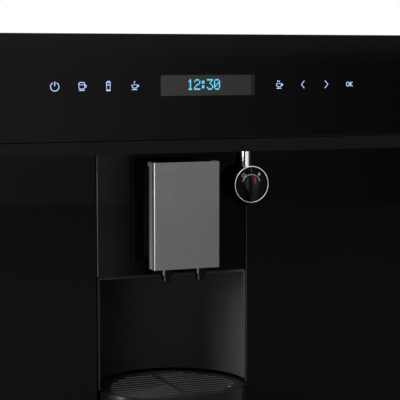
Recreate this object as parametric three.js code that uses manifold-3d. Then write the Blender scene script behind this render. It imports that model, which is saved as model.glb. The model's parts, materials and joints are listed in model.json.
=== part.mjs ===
// A built-in coffee machine that rolls out of its cabinet on telescopic rails.
// Millimetres, +X to the user's right, +Y into the cabinet, +Z up. The origin is the middle of the
// mounting frame's underside, in the plane of the cabinet's front edges.
import * as THREE from 'three';
import { mergeVertices } from 'three/addons/utils/BufferGeometryUtils.js';
import Module from 'manifold-3d';

const wasm = await Module();
wasm.setup();

// ---------------------------------------------------------------- driving dimensions

// Walls and clearances
const SEAT = 0.3; // between two pieces that rest on or are fastened to each other
const RUN = 0.5; // between two pieces that slide on each other
const SHEET = 1.5; // folded steel
const MOULD = 2.5; // moulded plastic
const GLASS = 4;
const BOARD_GAUGE = 1.6; // circuit boards

// Fascia, as seen from the room
const FASCIA_WIDTH = 595;
const FASCIA_HEIGHT = 455;
const FASCIA_LIFT = 2; // underside of the fascia above the shelf
const FASCIA_DEPTH = 18; // lower glass in front of the cabinet
const OVERHANG = 25; // control glass in front of the lower glass
const CONTROL_HEIGHT = 116.5;
const TRIM_HEIGHT = 14.6;
const TRIM_GAP = 1.3;
const PANEL_GAP = 1.1;
const ARRIS = 0.6; // ground edge of each glass
const ICON_FIRST = 87.3; // first touch symbol on either side of the screen
const ICON_PITCH = 30.3;

// Niche for the cups
const NICHE_X = -33.3;
const NICHE_WIDTH = 180.5;
const NICHE_DEPTH = 90;
const NICHE_TOP = 185.2;

// Coffee dispenser
const DISPENSER_X = -31.9;
const COVER_WIDTH = 78.2;
const COVER_HEIGHT = 119.4;
const COVER_FLANGE = 19; // depth of the steel sides
const COVER_REACH = 42; // steel front in front of the lower glass
const COVER_DROP = 8.8; // cover top below the trim rail
const COVER_BEND = 2.5;
const COLUMN_WIDTH = 52;
const COLUMN_BACK = 19.3; // column's face behind the steel front
const COLUMN_INSET = 3.7; // column's ends inside the cover's
const GUIDE_GROOVE = 3; // depth of the grooves in the column's sides
const OUTLET_SPACING = 40.6;
const OUTLET_BACK = 12; // outlet axis behind the steel front
const OUTLET_RADIUS = 6.9;
const OUTLET_BORE = 2.2;
const OUTLET_TIP = 15.3; // tip below the cover

// Steam arm and its dial
const ARM_X = 52.5;
const ARM_REACH = 11; // arm axis in front of the lower glass
const ARM_RADIUS = 6.7;
const DIAL_DROP = 37.6; // dial centre below the trim rail
const DIAL_RADIUS = 21;
const DIAL_FACE = 17; // dial ring in front of the arm axis
const DIAL_RING = 1.9;
const GRIP_HEIGHT = 12;
const GRIP_RADIUS = 9.8; // round end
const GRIP_TIP = 3.8; // half width of the narrow end
const GRIP_RIDGE = 3.2; // half width of the ridge down its middle
const GRIP_LENGTH = 17.6; // from the dial's centre to the narrow end

// Carcass, mounting frame and rails
const CARCASS_DEPTH = 430;
const FASCIA_OVERLAP = 19.5; // fascia beyond the mounting frame on either side
const FRAME_MARGIN = 5.3; // frame floor outside its upright flange
const FRAME_FLANGE = 62;
const CARCASS_LIFT = 12;
const TOP_CLEARANCE = 17.2; // top sheet below the fascia's top edge
const RAIL_LENGTH = 400;
const RAIL_WIDTH = 12.7;
const RAIL_HEIGHT = 45;
const RAIL_GAUGE = 1.2;
const BULKHEAD_Y = 80;
const LUG_LENGTH = 44;
const LUG_HEIGHT = 90;
const LUG_SCREWS = [28, 72]; // heights of a lug's two screws
const SCREW_RADIUS = 2.6;
const STOP_HEIGHT = 36;
const INLET_SIDE = 56.4; // mains inlet from the side wall
const INLET_Z = 70;

// Drip drawer
const TRAY_TOP = 54;
const TRAY_SIDE = 4; // between the tray and the side of the opening
const TRAY_NOSE = 58; // length of the rounded front
const TRAY_LENGTH = 258; // behind the rounded front
const TRAY_START = -20; // where the rounded front begins
const DRIP_LENGTH = 86;
const GRILLE_SLOT = 5;
const GRILLE_PITCH = 10.5;

// Water tank
const TANK_SIDE = 16.4; // between the tank and the side wall
const TANK_Y = 165;
const TANK_WIDTH = 130;
const TANK_DEPTH = 140;
const TANK_FLOOR = 262;

// Bean hopper and grinder
const HOPPER_SIDE = 21.4; // between the hopper and the side wall
const HOPPER_Y = 165;
const HOPPER_WIDTH = 140;
const HOPPER_DEPTH = 150;
const HOPPER_OUTLET = 352;
const GRINDER_RADIUS = 46;
const BURR_RADIUS = 18;
const GRIND_DIAL_SIDE = 35; // between the hopper and the grind dial's axis
const GRIND_DIAL_Y = 150;
const MOTOR_RADIUS = 32;
const MOTOR_HEIGHT = 90;

// Brewing group
const BREW_X = -15;
const BREW_Y = 165;
const BREW_BORE = 19;
const BREW_HEIGHT = 192;
const HEATER_WIDTH = 80;
const HEATER_DEPTH = 34;
const HEATER_HEIGHT = 110;

// Pump and power board
const PUMP_SIDE = 25; // pump's axis from the tank's, towards the middle
const PUMP_Y = 310;
const PUMP_RADIUS = 21;
const BOARD_SIDE = 21.4; // between the power board and the side wall
const BOARD_WIDTH = 160;
const BOARD_BOTTOM = 80;
const BOARD_TOP = 250;

// ---------------------------------------------------------------- derived places

const PANEL_FRONT = -FASCIA_DEPTH;
const PANEL_BACK = PANEL_FRONT + GLASS;
const CONTROL_FRONT = PANEL_FRONT - OVERHANG;
const FASCIA_TOP = FASCIA_LIFT + FASCIA_HEIGHT;
const CONTROL_BOTTOM = FASCIA_TOP - CONTROL_HEIGHT;
const TRIM_TOP = CONTROL_BOTTOM - TRIM_GAP;
const TRIM_BOTTOM = TRIM_TOP - TRIM_HEIGHT;
const PANEL_TOP = TRIM_BOTTOM + 3.4;
const CARCASS_TOP = FASCIA_TOP - TOP_CLEARANCE;
const FRAME_WIDTH = FASCIA_WIDTH - 2 * FASCIA_OVERLAP;
const FLANGE_INNER = FRAME_WIDTH / 2 - FRAME_MARGIN - SHEET;
const RAIL_INNER = FLANGE_INNER - SEAT - RAIL_WIDTH;
const WALL_OUTER = RAIL_INNER - SEAT;
const WALL_INNER = WALL_OUTER - SHEET;
const FLOOR_HALF = WALL_INNER - SEAT;
const RAIL_Z = CARCASS_LIFT + 24;
const FRONT_BACK = -2.3; // back of the moulded front frame
const CARCASS_FRONT = FRONT_BACK + SEAT;
const CARCASS_BACK = CARCASS_FRONT + CARCASS_DEPTH;
const TRAY_BOTTOM = CARCASS_LIFT + SHEET + RUN;
const COVER_TOP = TRIM_BOTTOM - COVER_DROP;
const COVER_BOTTOM = COVER_TOP - COVER_HEIGHT;
const COVER_FRONT = PANEL_FRONT - COVER_REACH;
const COLUMN_REACH = COVER_REACH - COLUMN_BACK;
const ARM_Y = PANEL_FRONT - ARM_REACH;
const DIAL_Z = TRIM_BOTTOM - DIAL_DROP;
const TRAY_HALF = NICHE_WIDTH / 2 - TRAY_SIDE;
const TANK_X = WALL_INNER - TANK_SIDE - TANK_WIDTH / 2;
const HOPPER_X = -(WALL_INNER - HOPPER_SIDE - HOPPER_WIDTH / 2);
const GRIND_DIAL_X = HOPPER_X + HOPPER_WIDTH / 2 + GRIND_DIAL_SIDE;
const INLET_X = WALL_INNER - INLET_SIDE;
const PUMP_X = TANK_X - PUMP_SIDE;

// ---------------------------------------------------------------- finishes

const finish = (color, roughness, metalness, extra = {}) =>
  new THREE.MeshStandardMaterial({ color, roughness, metalness, ...extra });
const blackGlass = finish(0x08090a, 0.08, 0.0);
const darkTrim = finish(0x232426, 0.42, 0.8);
const brushedSteel = finish(0x9a9a9a, 0.36, 0.9);
const polishedChrome = finish(0xd8d8da, 0.08, 1.0);
const blackPlastic = finish(0x0c0c0d, 0.42, 0.0);
const nicheSatin = finish(0x2a2a2b, 0.5, 0.6);
const zincSheet = finish(0xa3a6a8, 0.5, 0.85);
const railSteel = finish(0xb9bcbe, 0.3, 0.9);
const clearPlastic = finish(0xaebfc6, 0.15, 0.0, { transparent: true, opacity: 0.5 });
const smokedPlastic = finish(0x33302d, 0.15, 0.0, { transparent: true, opacity: 0.7 });
const greyPlastic = finish(0x55585b, 0.5, 0.0);
const castAluminium = finish(0xb4b6b8, 0.45, 0.9);
const whiteHose = finish(0xe4e4e0, 0.5, 0.0);
const boardGreen = finish(0x14552f, 0.5, 0.0);
const screenGrey = finish(0x3b3d3f, 0.2, 0.0);
const burrSteel = finish(0xc7c9cb, 0.3, 1.0);

// ---------------------------------------------------------------- modelling helpers

// A closed geometry as a solid for joining and cutting
function solid(geometry) {
  const bare = geometry.clone();
  bare.deleteAttribute('normal');
  bare.deleteAttribute('uv');
  const merged = mergeVertices(bare);
  const mesh = new wasm.Mesh({
    numProp: 3,
    vertProperties: new Float32Array(merged.attributes.position.array),
    triVerts: new Uint32Array(merged.index.array),
  });
  return new wasm.Manifold(mesh);
}

function geometryOf(body) {
  const mesh = body.getMesh();
  const geometry = new THREE.BufferGeometry();
  geometry.setAttribute('position', new THREE.BufferAttribute(mesh.vertProperties, 3));
  geometry.setIndex(new THREE.BufferAttribute(mesh.triVerts, 1));
  geometry.computeVertexNormals();
  return geometry;
}

const join = (first, ...others) =>
  geometryOf(others.reduce((body, other) => body.add(solid(other)), solid(first)));

const cut = (first, ...others) =>
  geometryOf(others.reduce((body, other) => body.subtract(solid(other)), solid(first)));

// The same piece for the other side of the machine
function mirrored(geometry) {
  const copy = mergeVertices(geometry.clone().deleteAttribute('normal').deleteAttribute('uv'));
  copy.scale(-1, 1, 1);
  const index = copy.index.array;
  for (let i = 0; i < index.length; i += 3) {
    [index[i], index[i + 1]] = [index[i + 1], index[i]];
  }
  copy.computeVertexNormals();
  return copy;
}

const block = (x0, x1, y0, y1, z0, z1) =>
  new THREE.BoxGeometry(x1 - x0, y1 - y0, z1 - z0).translate((x0 + x1) / 2, (y0 + y1) / 2, (z0 + z1) / 2);

const rodX = (radius, y, z, x0, x1, sides = 20) =>
  new THREE.CylinderGeometry(radius, radius, x1 - x0, sides).rotateZ(Math.PI / 2)
    .translate((x0 + x1) / 2, y, z);

const rodY = (radius, x, z, y0, y1, sides = 20) =>
  new THREE.CylinderGeometry(radius, radius, y1 - y0, sides).translate(x, (y0 + y1) / 2, z);

const rodZ = (radius, x, y, z0, z1, sides = 20) =>
  new THREE.CylinderGeometry(radius, radius, z1 - z0, sides).rotateX(Math.PI / 2)
    .translate(x, y, (z0 + z1) / 2);

const swept = (shape, depth, options = {}) =>
  new THREE.ExtrudeGeometry(shape, { depth, bevelEnabled: false, curveSegments: 1, ...options });

// A shape drawn in X and Y, from z0 up to z1
const plan = (shape, z0, z1, options) => swept(shape, z1 - z0, options).translate(0, 0, z0);

// A shape drawn in X and Z, from y0 back to y1
const front = (shape, y0, y1, options) =>
  swept(shape, y1 - y0, options).rotateX(Math.PI / 2).translate(0, y1, 0);

// A shape drawn in Y and Z, from x0 across to x1
const across = (shape, x0, x1, options) =>
  swept(shape, x1 - x0, options).applyMatrix4(new THREE.Matrix4().makeBasis(
    new THREE.Vector3(0, 1, 0),
    new THREE.Vector3(0, 0, 1),
    new THREE.Vector3(1, 0, 0),
  )).translate(x0, 0, 0);

const outline = (points) => new THREE.Shape(points.map(([u, v]) => new THREE.Vector2(u, v)));

// A rectangle with rounded corners, as an outline or as a hole
function rounded(u0, u1, v0, v1, radius, Kind = THREE.Shape) {
  const shape = new Kind();
  shape.moveTo(u0 + radius, v0);
  shape.lineTo(u1 - radius, v0);
  shape.absarc(u1 - radius, v0 + radius, radius, -Math.PI / 2, 0);
  shape.lineTo(u1, v1 - radius);
  shape.absarc(u1 - radius, v1 - radius, radius, 0, Math.PI / 2);
  shape.lineTo(u0 + radius, v1);
  shape.absarc(u0 + radius, v1 - radius, radius, Math.PI / 2, Math.PI);
  shape.lineTo(u0, v0 + radius);
  shape.absarc(u0 + radius, v0 + radius, radius, Math.PI, Math.PI * 1.5);
  shape.closePath();
  return shape;
}

// A circle as a many-sided outline or hole
const circle = (u, v, radius, sides, Kind = THREE.Path) =>
  new Kind(new THREE.Path().absarc(u, v, radius, 0, Math.PI * 2).getPoints(sides / 2).slice(0, -1));

// Half an ellipse behind (+1) or in front (-1) of the line v = start, joined to a straight body
function halfEllipse(shape, u, v, half, length, side) {
  const turn = side > 0 ? [0, Math.PI] : [Math.PI, Math.PI * 2];
  shape.absellipse(u, v, half, length, turn[0], turn[1], false, 0);
  return shape;
}

// Skin through closed sections of equal count, stacked in the direction from which they run
// anticlockwise, with both ends closed
function loft(sections) {
  const count = sections[0].length;
  const corners = sections.flat().flatMap((point) => [point.x, point.y, point.z]);
  const faces = [];
  for (let level = 0; level < sections.length - 1; level += 1) {
    for (let i = 0; i < count; i += 1) {
      const a = level * count + i;
      const b = level * count + ((i + 1) % count);
      faces.push(a, b, b + count, a, b + count, a + count);
    }
  }
  const last = (sections.length - 1) * count;
  for (let i = 1; i < count - 1; i += 1) {
    faces.push(0, i + 1, i, last, last + i, last + i + 1);
  }
  const geometry = new THREE.BufferGeometry();
  geometry.setAttribute('position', new THREE.Float32BufferAttribute(corners, 3));
  geometry.setIndex(faces);
  geometry.computeVertexNormals();
  return geometry;
}

// A hopper or bin: rounded rectangles of the given half sizes at the given heights
const tapered = (levels, x, y) => loft(levels.map(([halfX, halfY, z, radius]) =>
  rounded(x - halfX, x + halfX, y - halfY, y + halfY, radius)
    .extractPoints(1).shape.slice(0, -1).map((point) => new THREE.Vector3(point.x, point.y, z))));

const turned = (profile, sides = 20) =>
  new THREE.LatheGeometry(profile.map(([r, z]) => new THREE.Vector2(r, z)), sides).rotateX(Math.PI / 2);

function hose(radius, points, steps = 18) {
  const section = circle(0, 0, radius, 8, THREE.Shape);
  const path = new THREE.CatmullRomCurve3(points.map((point) => new THREE.Vector3(...point)));
  return new THREE.ExtrudeGeometry(section, {
    steps, extrudePath: path, bevelEnabled: false,
  });
}

// Glass with a ground edge all round, standing in the X and Z plane
function pane(x0, x1, z0, z1, y0, window) {
  const shape = outline([
    [x0 + ARRIS, z0 + ARRIS], [x1 - ARRIS, z0 + ARRIS], [x1 - ARRIS, z1 - ARRIS], [x0 + ARRIS, z1 - ARRIS],
  ]);
  const glass = front(shape, y0 + ARRIS, y0 + GLASS - ARRIS, {
    bevelEnabled: true, bevelThickness: ARRIS, bevelSize: ARRIS, bevelSegments: 1,
  });
  return window ? cut(glass, window) : glass;
}

const machineParts = new THREE.Group();

function place(name, geometry, material, parent) {
  const mesh = new THREE.Mesh(geometry, material);
  mesh.name = name;
  parent.add(mesh);
  return mesh;
}

// A piece modelled for the right-hand side, and its mirror image
function placePair(name, geometry, material, parent) {
  place(`${name}_right`, geometry, material, parent);
  place(`${name}_left`, mirrored(geometry), material, parent);
}

// ---------------------------------------------------------------- mounting frame

// Floor, two upright flanges for the rails, a rear stop and a lug at each front corner that is
// screwed to the cabinet's side wall
function basePan() {
  const floorBack = CARCASS_BACK + 10;
  const floor = rounded(-FRAME_WIDTH / 2, FRAME_WIDTH / 2, CARCASS_FRONT, floorBack, 3);
  const slots = 5;
  for (let i = 0; i < slots; i += 1) {
    const x = (i - (slots - 1) / 2) * 90;
    floor.holes.push(rounded(x - 25, x + 25, floorBack - 60, floorBack - 50, 4.9, THREE.Path));
  }
  const flange = block(
    FLANGE_INNER, FLANGE_INNER + SHEET, CARCASS_FRONT + 4, floorBack, SHEET / 2, FRAME_FLANGE,
  );
  const lugStart = CARCASS_FRONT + 10;
  const lugOuter = FRAME_WIDTH / 2;
  const lug = cut(
    across(rounded(lugStart, lugStart + LUG_LENGTH, SHEET / 2, LUG_HEIGHT, 6), lugOuter - SHEET, lugOuter),
    ...LUG_SCREWS.map((z) => rodX(SCREW_RADIUS, lugStart + LUG_LENGTH / 2, z, lugOuter - 6, lugOuter + 6, 12)),
  );
  const stop = block(-FLANGE_INNER, FLANGE_INNER, floorBack - SHEET, floorBack, SHEET / 2, STOP_HEIGHT);
  return join(plan(floor, 0, SHEET), flange, mirrored(flange), lug, mirrored(lug), stop);
}

// One member of a telescopic rail: a channel open towards the machine. webX is the outside of the
// web, lip the height of the curled edge, if any.
function railChannel(webX, openX, half, lip) {
  const g = RAIL_GAUGE;
  const upper = [[openX, half], [webX, half], [webX, -half], [openX, -half]];
  const curled = [[openX, -half + lip], [openX + g, -half + lip], [openX + g, -half + g]];
  const plain = [[openX, -half + g]];
  const lower = lip ? curled : plain;
  const inside = [[webX - g, -half + g], [webX - g, half - g]];
  const mirroredLower = lower.map(([x, z]) => [x, -z]).reverse();
  return outline([...upper, ...lower, ...inside, ...mirroredLower].reverse());
}

const railStart = CARCASS_FRONT + 6;
const railEnd = railStart + RAIL_LENGTH;
const railOuter = RAIL_INNER + RAIL_WIDTH;
const middleHalf = RAIL_HEIGHT / 2 - 5.5;
const innerHalf = middleHalf - 5;

const outerRail = () =>
  front(railChannel(railOuter, RAIL_INNER + 1.5, RAIL_HEIGHT / 2, 5), railStart, railEnd)
    .translate(0, 0, RAIL_Z);

// The middle member carries both pairs of ball cages
function middleRail() {
  const channel = front(railChannel(railOuter - 1.6, RAIL_INNER + 1.5, middleHalf, 0), railStart, railEnd);
  const cages = [];
  for (const side of [-1, 1]) {
    const outside = [middleHalf - 0.4, RAIL_HEIGHT / 2 - RAIL_GAUGE - SEAT].map((z) => z * side);
    const inside = [innerHalf + SEAT, middleHalf - RAIL_GAUGE + 0.4].map((z) => z * side);
    const x = RAIL_INNER + 4;
    cages.push(block(x, x + 5, railStart + 8, railStart + 190, Math.min(...outside), Math.max(...outside)));
    cages.push(block(x, x + 5, railEnd - 190, railEnd - 8, Math.min(...inside), Math.max(...inside)));
  }
  return join(channel, ...cages).translate(0, 0, RAIL_Z);
}

// The inner member is screwed to the carcass and opens away from it
function innerRail() {
  const g = RAIL_GAUGE;
  const open = RAIL_INNER + 9;
  const half = innerHalf;
  const profile = outline([
    [RAIL_INNER, -half], [open, -half], [open, -half + g], [RAIL_INNER + g, -half + g],
    [RAIL_INNER + g, half - g], [open, half - g], [open, half], [RAIL_INNER, half],
  ]);
  return front(profile, railStart, railEnd).translate(0, 0, RAIL_Z);
}

// ---------------------------------------------------------------- carcass

function chassisFloor() {
  const z = CARCASS_LIFT;
  const back = CARCASS_BACK - SHEET - SEAT;
  const profile = outline([
    [-FLOOR_HALF, z], [FLOOR_HALF, z], [FLOOR_HALF, z + 12], [FLOOR_HALF - SHEET, z + 12],
    [FLOOR_HALF - SHEET, z + SHEET], [-FLOOR_HALF + SHEET, z + SHEET], [-FLOOR_HALF + SHEET, z + 12],
    [-FLOOR_HALF, z + 12],
  ]);
  return front(profile, CARCASS_FRONT, back);
}

function sideWall() {
  const shape = outline([
    [CARCASS_FRONT, CARCASS_LIFT], [CARCASS_BACK, CARCASS_LIFT],
    [CARCASS_BACK, CARCASS_TOP - SHEET - SEAT], [CARCASS_FRONT, CARCASS_TOP - SHEET - SEAT],
  ]);
  const slots = 6;
  for (let i = 0; i < slots; i += 1) {
    const y = CARCASS_BACK - 40 - i * 18;
    shape.holes.push(rounded(y - 2.5, y + 2.5, CARCASS_TOP - 110, CARCASS_TOP - 50, 2.4, THREE.Path));
  }
  return across(shape, WALL_INNER, WALL_OUTER);
}

function rearWall() {
  const shape = outline([
    [-FLOOR_HALF, CARCASS_LIFT], [FLOOR_HALF, CARCASS_LIFT],
    [FLOOR_HALF, CARCASS_TOP - SHEET - SEAT], [-FLOOR_HALF, CARCASS_TOP - SHEET - SEAT],
  ]);
  const slots = 10;
  for (let i = 0; i < slots; i += 1) {
    const x = (i - (slots - 1) / 2) * 20;
    shape.holes.push(rounded(x - 3, x + 3, CARCASS_TOP - 120, CARCASS_TOP - 50, 2.9, THREE.Path));
  }
  shape.holes.push(inletOutline(14, 10, 3, THREE.Path));
  return front(shape, CARCASS_BACK - SHEET, CARCASS_BACK);
}

function topCover() {
  const shape = rounded(-WALL_OUTER, WALL_OUTER, CARCASS_FRONT, CARCASS_BACK, 2);
  const opening = (x, y, width, depth) => rounded(
    x - width / 2 - 0.6, x + width / 2 + 0.6, y - depth / 2 - 0.6, y + depth / 2 + 0.6, 8.6, THREE.Path,
  );
  shape.holes.push(opening(HOPPER_X, HOPPER_Y, HOPPER_WIDTH, HOPPER_DEPTH));
  shape.holes.push(opening(TANK_X, TANK_Y, TANK_WIDTH, TANK_DEPTH));
  shape.holes.push(circle(GRIND_DIAL_X, GRIND_DIAL_Y, 8 + SEAT, 20));
  return plan(shape, CARCASS_TOP - SHEET, CARCASS_TOP);
}

const SILL_TOP = CARCASS_LIFT + SHEET; // lower edge of the drawer's opening

// Moulded surround that carries the whole fascia: a plate with a rim all round and round its opening
function surround() {
  const half = FASCIA_WIDTH / 2 - 9.5;
  const [bottom, top] = [FASCIA_LIFT + 4, FASCIA_TOP - 4];
  const openHalf = NICHE_WIDTH / 2 + SEAT;
  const openBottom = SILL_TOP;
  const openTop = NICHE_TOP + SEAT;
  const plate = rounded(-half, half, bottom, top, 4);
  plate.holes.push(rounded(NICHE_X - openHalf, NICHE_X + openHalf, openBottom, openTop, 1, THREE.Path));
  plate.holes.push(circle(ARM_X, TRIM_TOP - 5.5, 4, 12));
  plate.holes.push(circle(DISPENSER_X, COVER_TOP - hoseDrop, 6, 16));
  const rim = rounded(-half, half, bottom, top, 4);
  rim.holes.push(rounded(-half + MOULD, half - MOULD, bottom + MOULD, top - MOULD, 2, THREE.Path));
  const collar = rounded(
    NICHE_X - openHalf - MOULD, NICHE_X + openHalf + MOULD, openBottom - MOULD, openTop + MOULD, 2,
  );
  collar.holes.push(rounded(NICHE_X - openHalf, NICHE_X + openHalf, openBottom, openTop, 1, THREE.Path));
  const plateBack = PANEL_BACK + SEAT + 3;
  const ribs = [TRIM_BOTTOM - 20, CONTROL_BOTTOM + 20].map((z) =>
    block(-half + 1, half - 1, plateBack - 1, FRONT_BACK, z - MOULD / 2, z + MOULD / 2));
  return join(
    front(plate, PANEL_BACK + SEAT, plateBack),
    front(rim, plateBack - 1, FRONT_BACK),
    front(collar, plateBack - 1, FRONT_BACK),
    ...ribs,
  );
}

const surroundBand = (z0, z1) =>
  block(-FASCIA_WIDTH / 2, FASCIA_WIDTH / 2, PANEL_BACK, FRONT_BACK + 1, z0, z1);

// It is made in two: the frame, and the sill that closes it below the drawer
const frontFrame = () => cut(surround(), surroundBand(0, SILL_TOP));
const frontSill = () => cut(surround(), surroundBand(SILL_TOP - SEAT, FASCIA_TOP));

// Sheet across the carcass that carries the brewing group, the tank seat and the grinder
function bulkhead() {
  const bottom = TRAY_TOP + 5;
  const shape = outline([
    [-FLOOR_HALF, bottom], [FLOOR_HALF, bottom],
    [FLOOR_HALF, CARCASS_TOP - SHEET - SEAT], [-FLOOR_HALF, CARCASS_TOP - SHEET - SEAT],
  ]);
  for (const [x, z, radius] of [[-24, 292, 8], [40, TRIM_TOP - 5.5, 6]]) {
    shape.holes.push(circle(x, z, radius, 16));
  }
  return front(shape, BULKHEAD_Y, BULKHEAD_Y + SHEET);
}

// Half-elliptical recess with a roof, open to the front and to the drip tray below
function nicheShell() {
  const bottom = TRAY_TOP + 3;
  const recess = () => halfEllipse(new THREE.Shape(), NICHE_X, PANEL_FRONT, NICHE_WIDTH / 2, NICHE_DEPTH, 1);
  const shell = recess();
  shell.lineTo(NICHE_X - NICHE_WIDTH / 2 + MOULD, PANEL_FRONT);
  shell.absellipse(
    NICHE_X, PANEL_FRONT, NICHE_WIDTH / 2 - MOULD, NICHE_DEPTH - MOULD, Math.PI, 0, true, 0,
  );
  shell.closePath();
  const roof = recess();
  roof.closePath();
  return join(
    plan(shell, bottom, NICHE_TOP, { curveSegments: 16 }),
    plan(roof, NICHE_TOP - MOULD, NICHE_TOP, { curveSegments: 16 }),
  );
}

// ---------------------------------------------------------------- fascia

const hoseDrop = 46; // coffee hose below the cover's top
const windowHalf = 20.5;
const windowBottom = COVER_BOTTOM + 23.5;
const windowTop = COVER_BOTTOM + 99.5;

const leftGlass = () => pane(
  -FASCIA_WIDTH / 2, NICHE_X - NICHE_WIDTH / 2 - PANEL_GAP, FASCIA_LIFT, PANEL_TOP, PANEL_FRONT,
);
const rightGlass = () => pane(
  NICHE_X + NICHE_WIDTH / 2 + PANEL_GAP, FASCIA_WIDTH / 2, FASCIA_LIFT, PANEL_TOP, PANEL_FRONT,
);
const middleGlass = () => pane(
  NICHE_X - NICHE_WIDTH / 2, NICHE_X + NICHE_WIDTH / 2, NICHE_TOP + SEAT, PANEL_TOP, PANEL_FRONT,
  block(
    DISPENSER_X - windowHalf, DISPENSER_X + windowHalf, PANEL_FRONT - 1, PANEL_BACK + 1,
    windowBottom, windowTop,
  ),
);
const controlGlass = () => pane(
  -FASCIA_WIDTH / 2, FASCIA_WIDTH / 2, CONTROL_BOTTOM, FASCIA_TOP, CONTROL_FRONT,
);

const collarRadius = ARM_RADIUS + 1.5;

// Channel-shaped rail under the control glass, with a hole for the steam arm's collar
function trimRail() {
  const back = PANEL_FRONT - SEAT;
  const profile = outline([
    [CONTROL_FRONT, TRIM_BOTTOM], [back, TRIM_BOTTOM], [back, TRIM_TOP], [back - 2, TRIM_TOP],
    [back - 2, TRIM_BOTTOM + 2], [CONTROL_FRONT + MOULD, TRIM_BOTTOM + 2],
    [CONTROL_FRONT + MOULD, TRIM_TOP], [CONTROL_FRONT, TRIM_TOP],
  ]);
  return cut(
    across(profile, -FASCIA_WIDTH / 2, FASCIA_WIDTH / 2),
    rodZ(collarRadius + SEAT, ARM_X, ARM_Y, TRIM_BOTTOM - 3, TRIM_BOTTOM + 5),
    rodY(3.6, ARM_X, TRIM_TOP - 5.5, back - 5, back + 3, 16),
  );
}

const boxFront = CONTROL_FRONT + GLASS + SEAT;
const boxBack = PANEL_BACK;
const boardFront = boxFront + 8.7;
const boardHalf = FASCIA_WIDTH / 2 - 22.5;

// Open box behind the control glass, with posts for the touch board
function controlBox() {
  const half = FASCIA_WIDTH / 2 - 5;
  const bottom = TRIM_TOP + SEAT;
  const top = FASCIA_TOP - 2.5;
  const posts = [boardHalf - 25, 95].flatMap((x) => [-x, x]).flatMap((x) => [bottom + 35, top - 30].map((z) =>
    rodY(3.5, x, z, boardFront + BOARD_GAUGE + SEAT, boxBack - 1, 8)));
  return join(cut(
    block(-half, half, boxFront, boxBack, bottom, top),
    block(-half + MOULD, half - MOULD, boxFront - 1, boxBack - MOULD, bottom + MOULD, top - MOULD),
  ), ...posts);
}

const DISPLAY_Z = FASCIA_TOP - 57;

// Board with one contact spring behind each touch symbol
function touchBoard() {
  const springs = [-1, 1].flatMap((side) => [0, 1, 2, 3].map((i) =>
    rodY(3.5, side * (ICON_FIRST + i * ICON_PITCH), DISPLAY_Z, boxFront, boardFront + 1, 8)));
  return join(
    block(-boardHalf, boardHalf, boardFront, boardFront + BOARD_GAUGE, DISPLAY_Z - 24, DISPLAY_Z + 26),
    ...springs,
  );
}

// Screen in a bevelled bezel
const displayModule = () => join(
  block(-62, 62, boxFront + 2, boardFront - SEAT, DISPLAY_Z - 17, DISPLAY_Z + 17),
  front(rounded(-57, 57, DISPLAY_Z - 12, DISPLAY_Z + 12, 1), boxFront, boxFront + 3),
);

// Block above the trim rail in which the steam arm turns and the steam line ends
function swivelBlock() {
  const body = join(
    block(ARM_X - 9, ARM_X + 9, ARM_Y - 9, PANEL_FRONT - 2 - 2 * SEAT, TRIM_BOTTOM + 2 + SEAT, TRIM_TOP - 1),
    rodZ(collarRadius, ARM_X, ARM_Y, TRIM_BOTTOM, TRIM_BOTTOM + 3),
  );
  return cut(
    body,
    rodZ(ARM_RADIUS + SEAT, ARM_X, ARM_Y, TRIM_BOTTOM - 4, TRIM_TOP - 5),
    rodY(1.6, ARM_X, TRIM_TOP - 5.5, ARM_Y, PANEL_FRONT, 10),
  );
}

// ---------------------------------------------------------------- dispenser

const columnBottom = COVER_BOTTOM + COLUMN_INSET;
const columnTop = COVER_TOP - COLUMN_INSET;
const grooveHalf = 2.5;
const grooveY = PANEL_FRONT - 11;

// Fixed guide column: grooves down both sides, and a boss through the glass
function dispenserColumn() {
  const half = COLUMN_WIDTH / 2;
  const body = block(
    DISPENSER_X - half, DISPENSER_X + half, PANEL_FRONT - COLUMN_REACH, PANEL_FRONT - SEAT,
    columnBottom, columnTop,
  );
  const boss = block(
    DISPENSER_X - windowHalf + SEAT, DISPENSER_X + windowHalf - SEAT, PANEL_FRONT - 1, PANEL_BACK,
    windowBottom + SEAT, windowTop - SEAT,
  );
  const grooves = [-1, 1].map((side) => block(
    DISPENSER_X + side * half - GUIDE_GROOVE, DISPENSER_X + side * half + GUIDE_GROOVE,
    grooveY - grooveHalf, grooveY + grooveHalf, columnBottom - 1, columnTop + 1,
  ));
  const hoseSeat = rodY(3, DISPENSER_X, COVER_TOP - hoseDrop, PANEL_FRONT - 10, PANEL_BACK + 1, 12);
  return cut(join(body, boss), ...grooves, hoseSeat);
}

// Folded steel cover: a front and two sides, with a small ear at the back of each side
function dispenserCover() {
  const half = COVER_WIDTH / 2;
  const back = COVER_FRONT + COVER_FLANGE;
  const bend = COVER_BEND;
  const shape = new THREE.Shape();
  shape.moveTo(-half, back);
  shape.lineTo(-half, COVER_FRONT + bend);
  shape.absarc(-half + bend, COVER_FRONT + bend, bend, Math.PI, Math.PI * 1.5);
  shape.lineTo(half - bend, COVER_FRONT);
  shape.absarc(half - bend, COVER_FRONT + bend, bend, -Math.PI / 2, 0);
  shape.lineTo(half, back);
  shape.lineTo(half - SHEET, back);
  shape.lineTo(half - SHEET, COVER_FRONT + SHEET);
  shape.lineTo(-half + SHEET, COVER_FRONT + SHEET);
  shape.lineTo(-half + SHEET, back);
  shape.closePath();
  const ears = [-half, half - SHEET].map((x) =>
    block(x, x + SHEET, back - 1, back + 2.5, COVER_TOP - 5, COVER_TOP));
  return join(plan(shape, COVER_BOTTOM, COVER_TOP, { curveSegments: 3 }), ...ears);
}

const carriageBottom = COVER_BOTTOM + 11.7;

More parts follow.
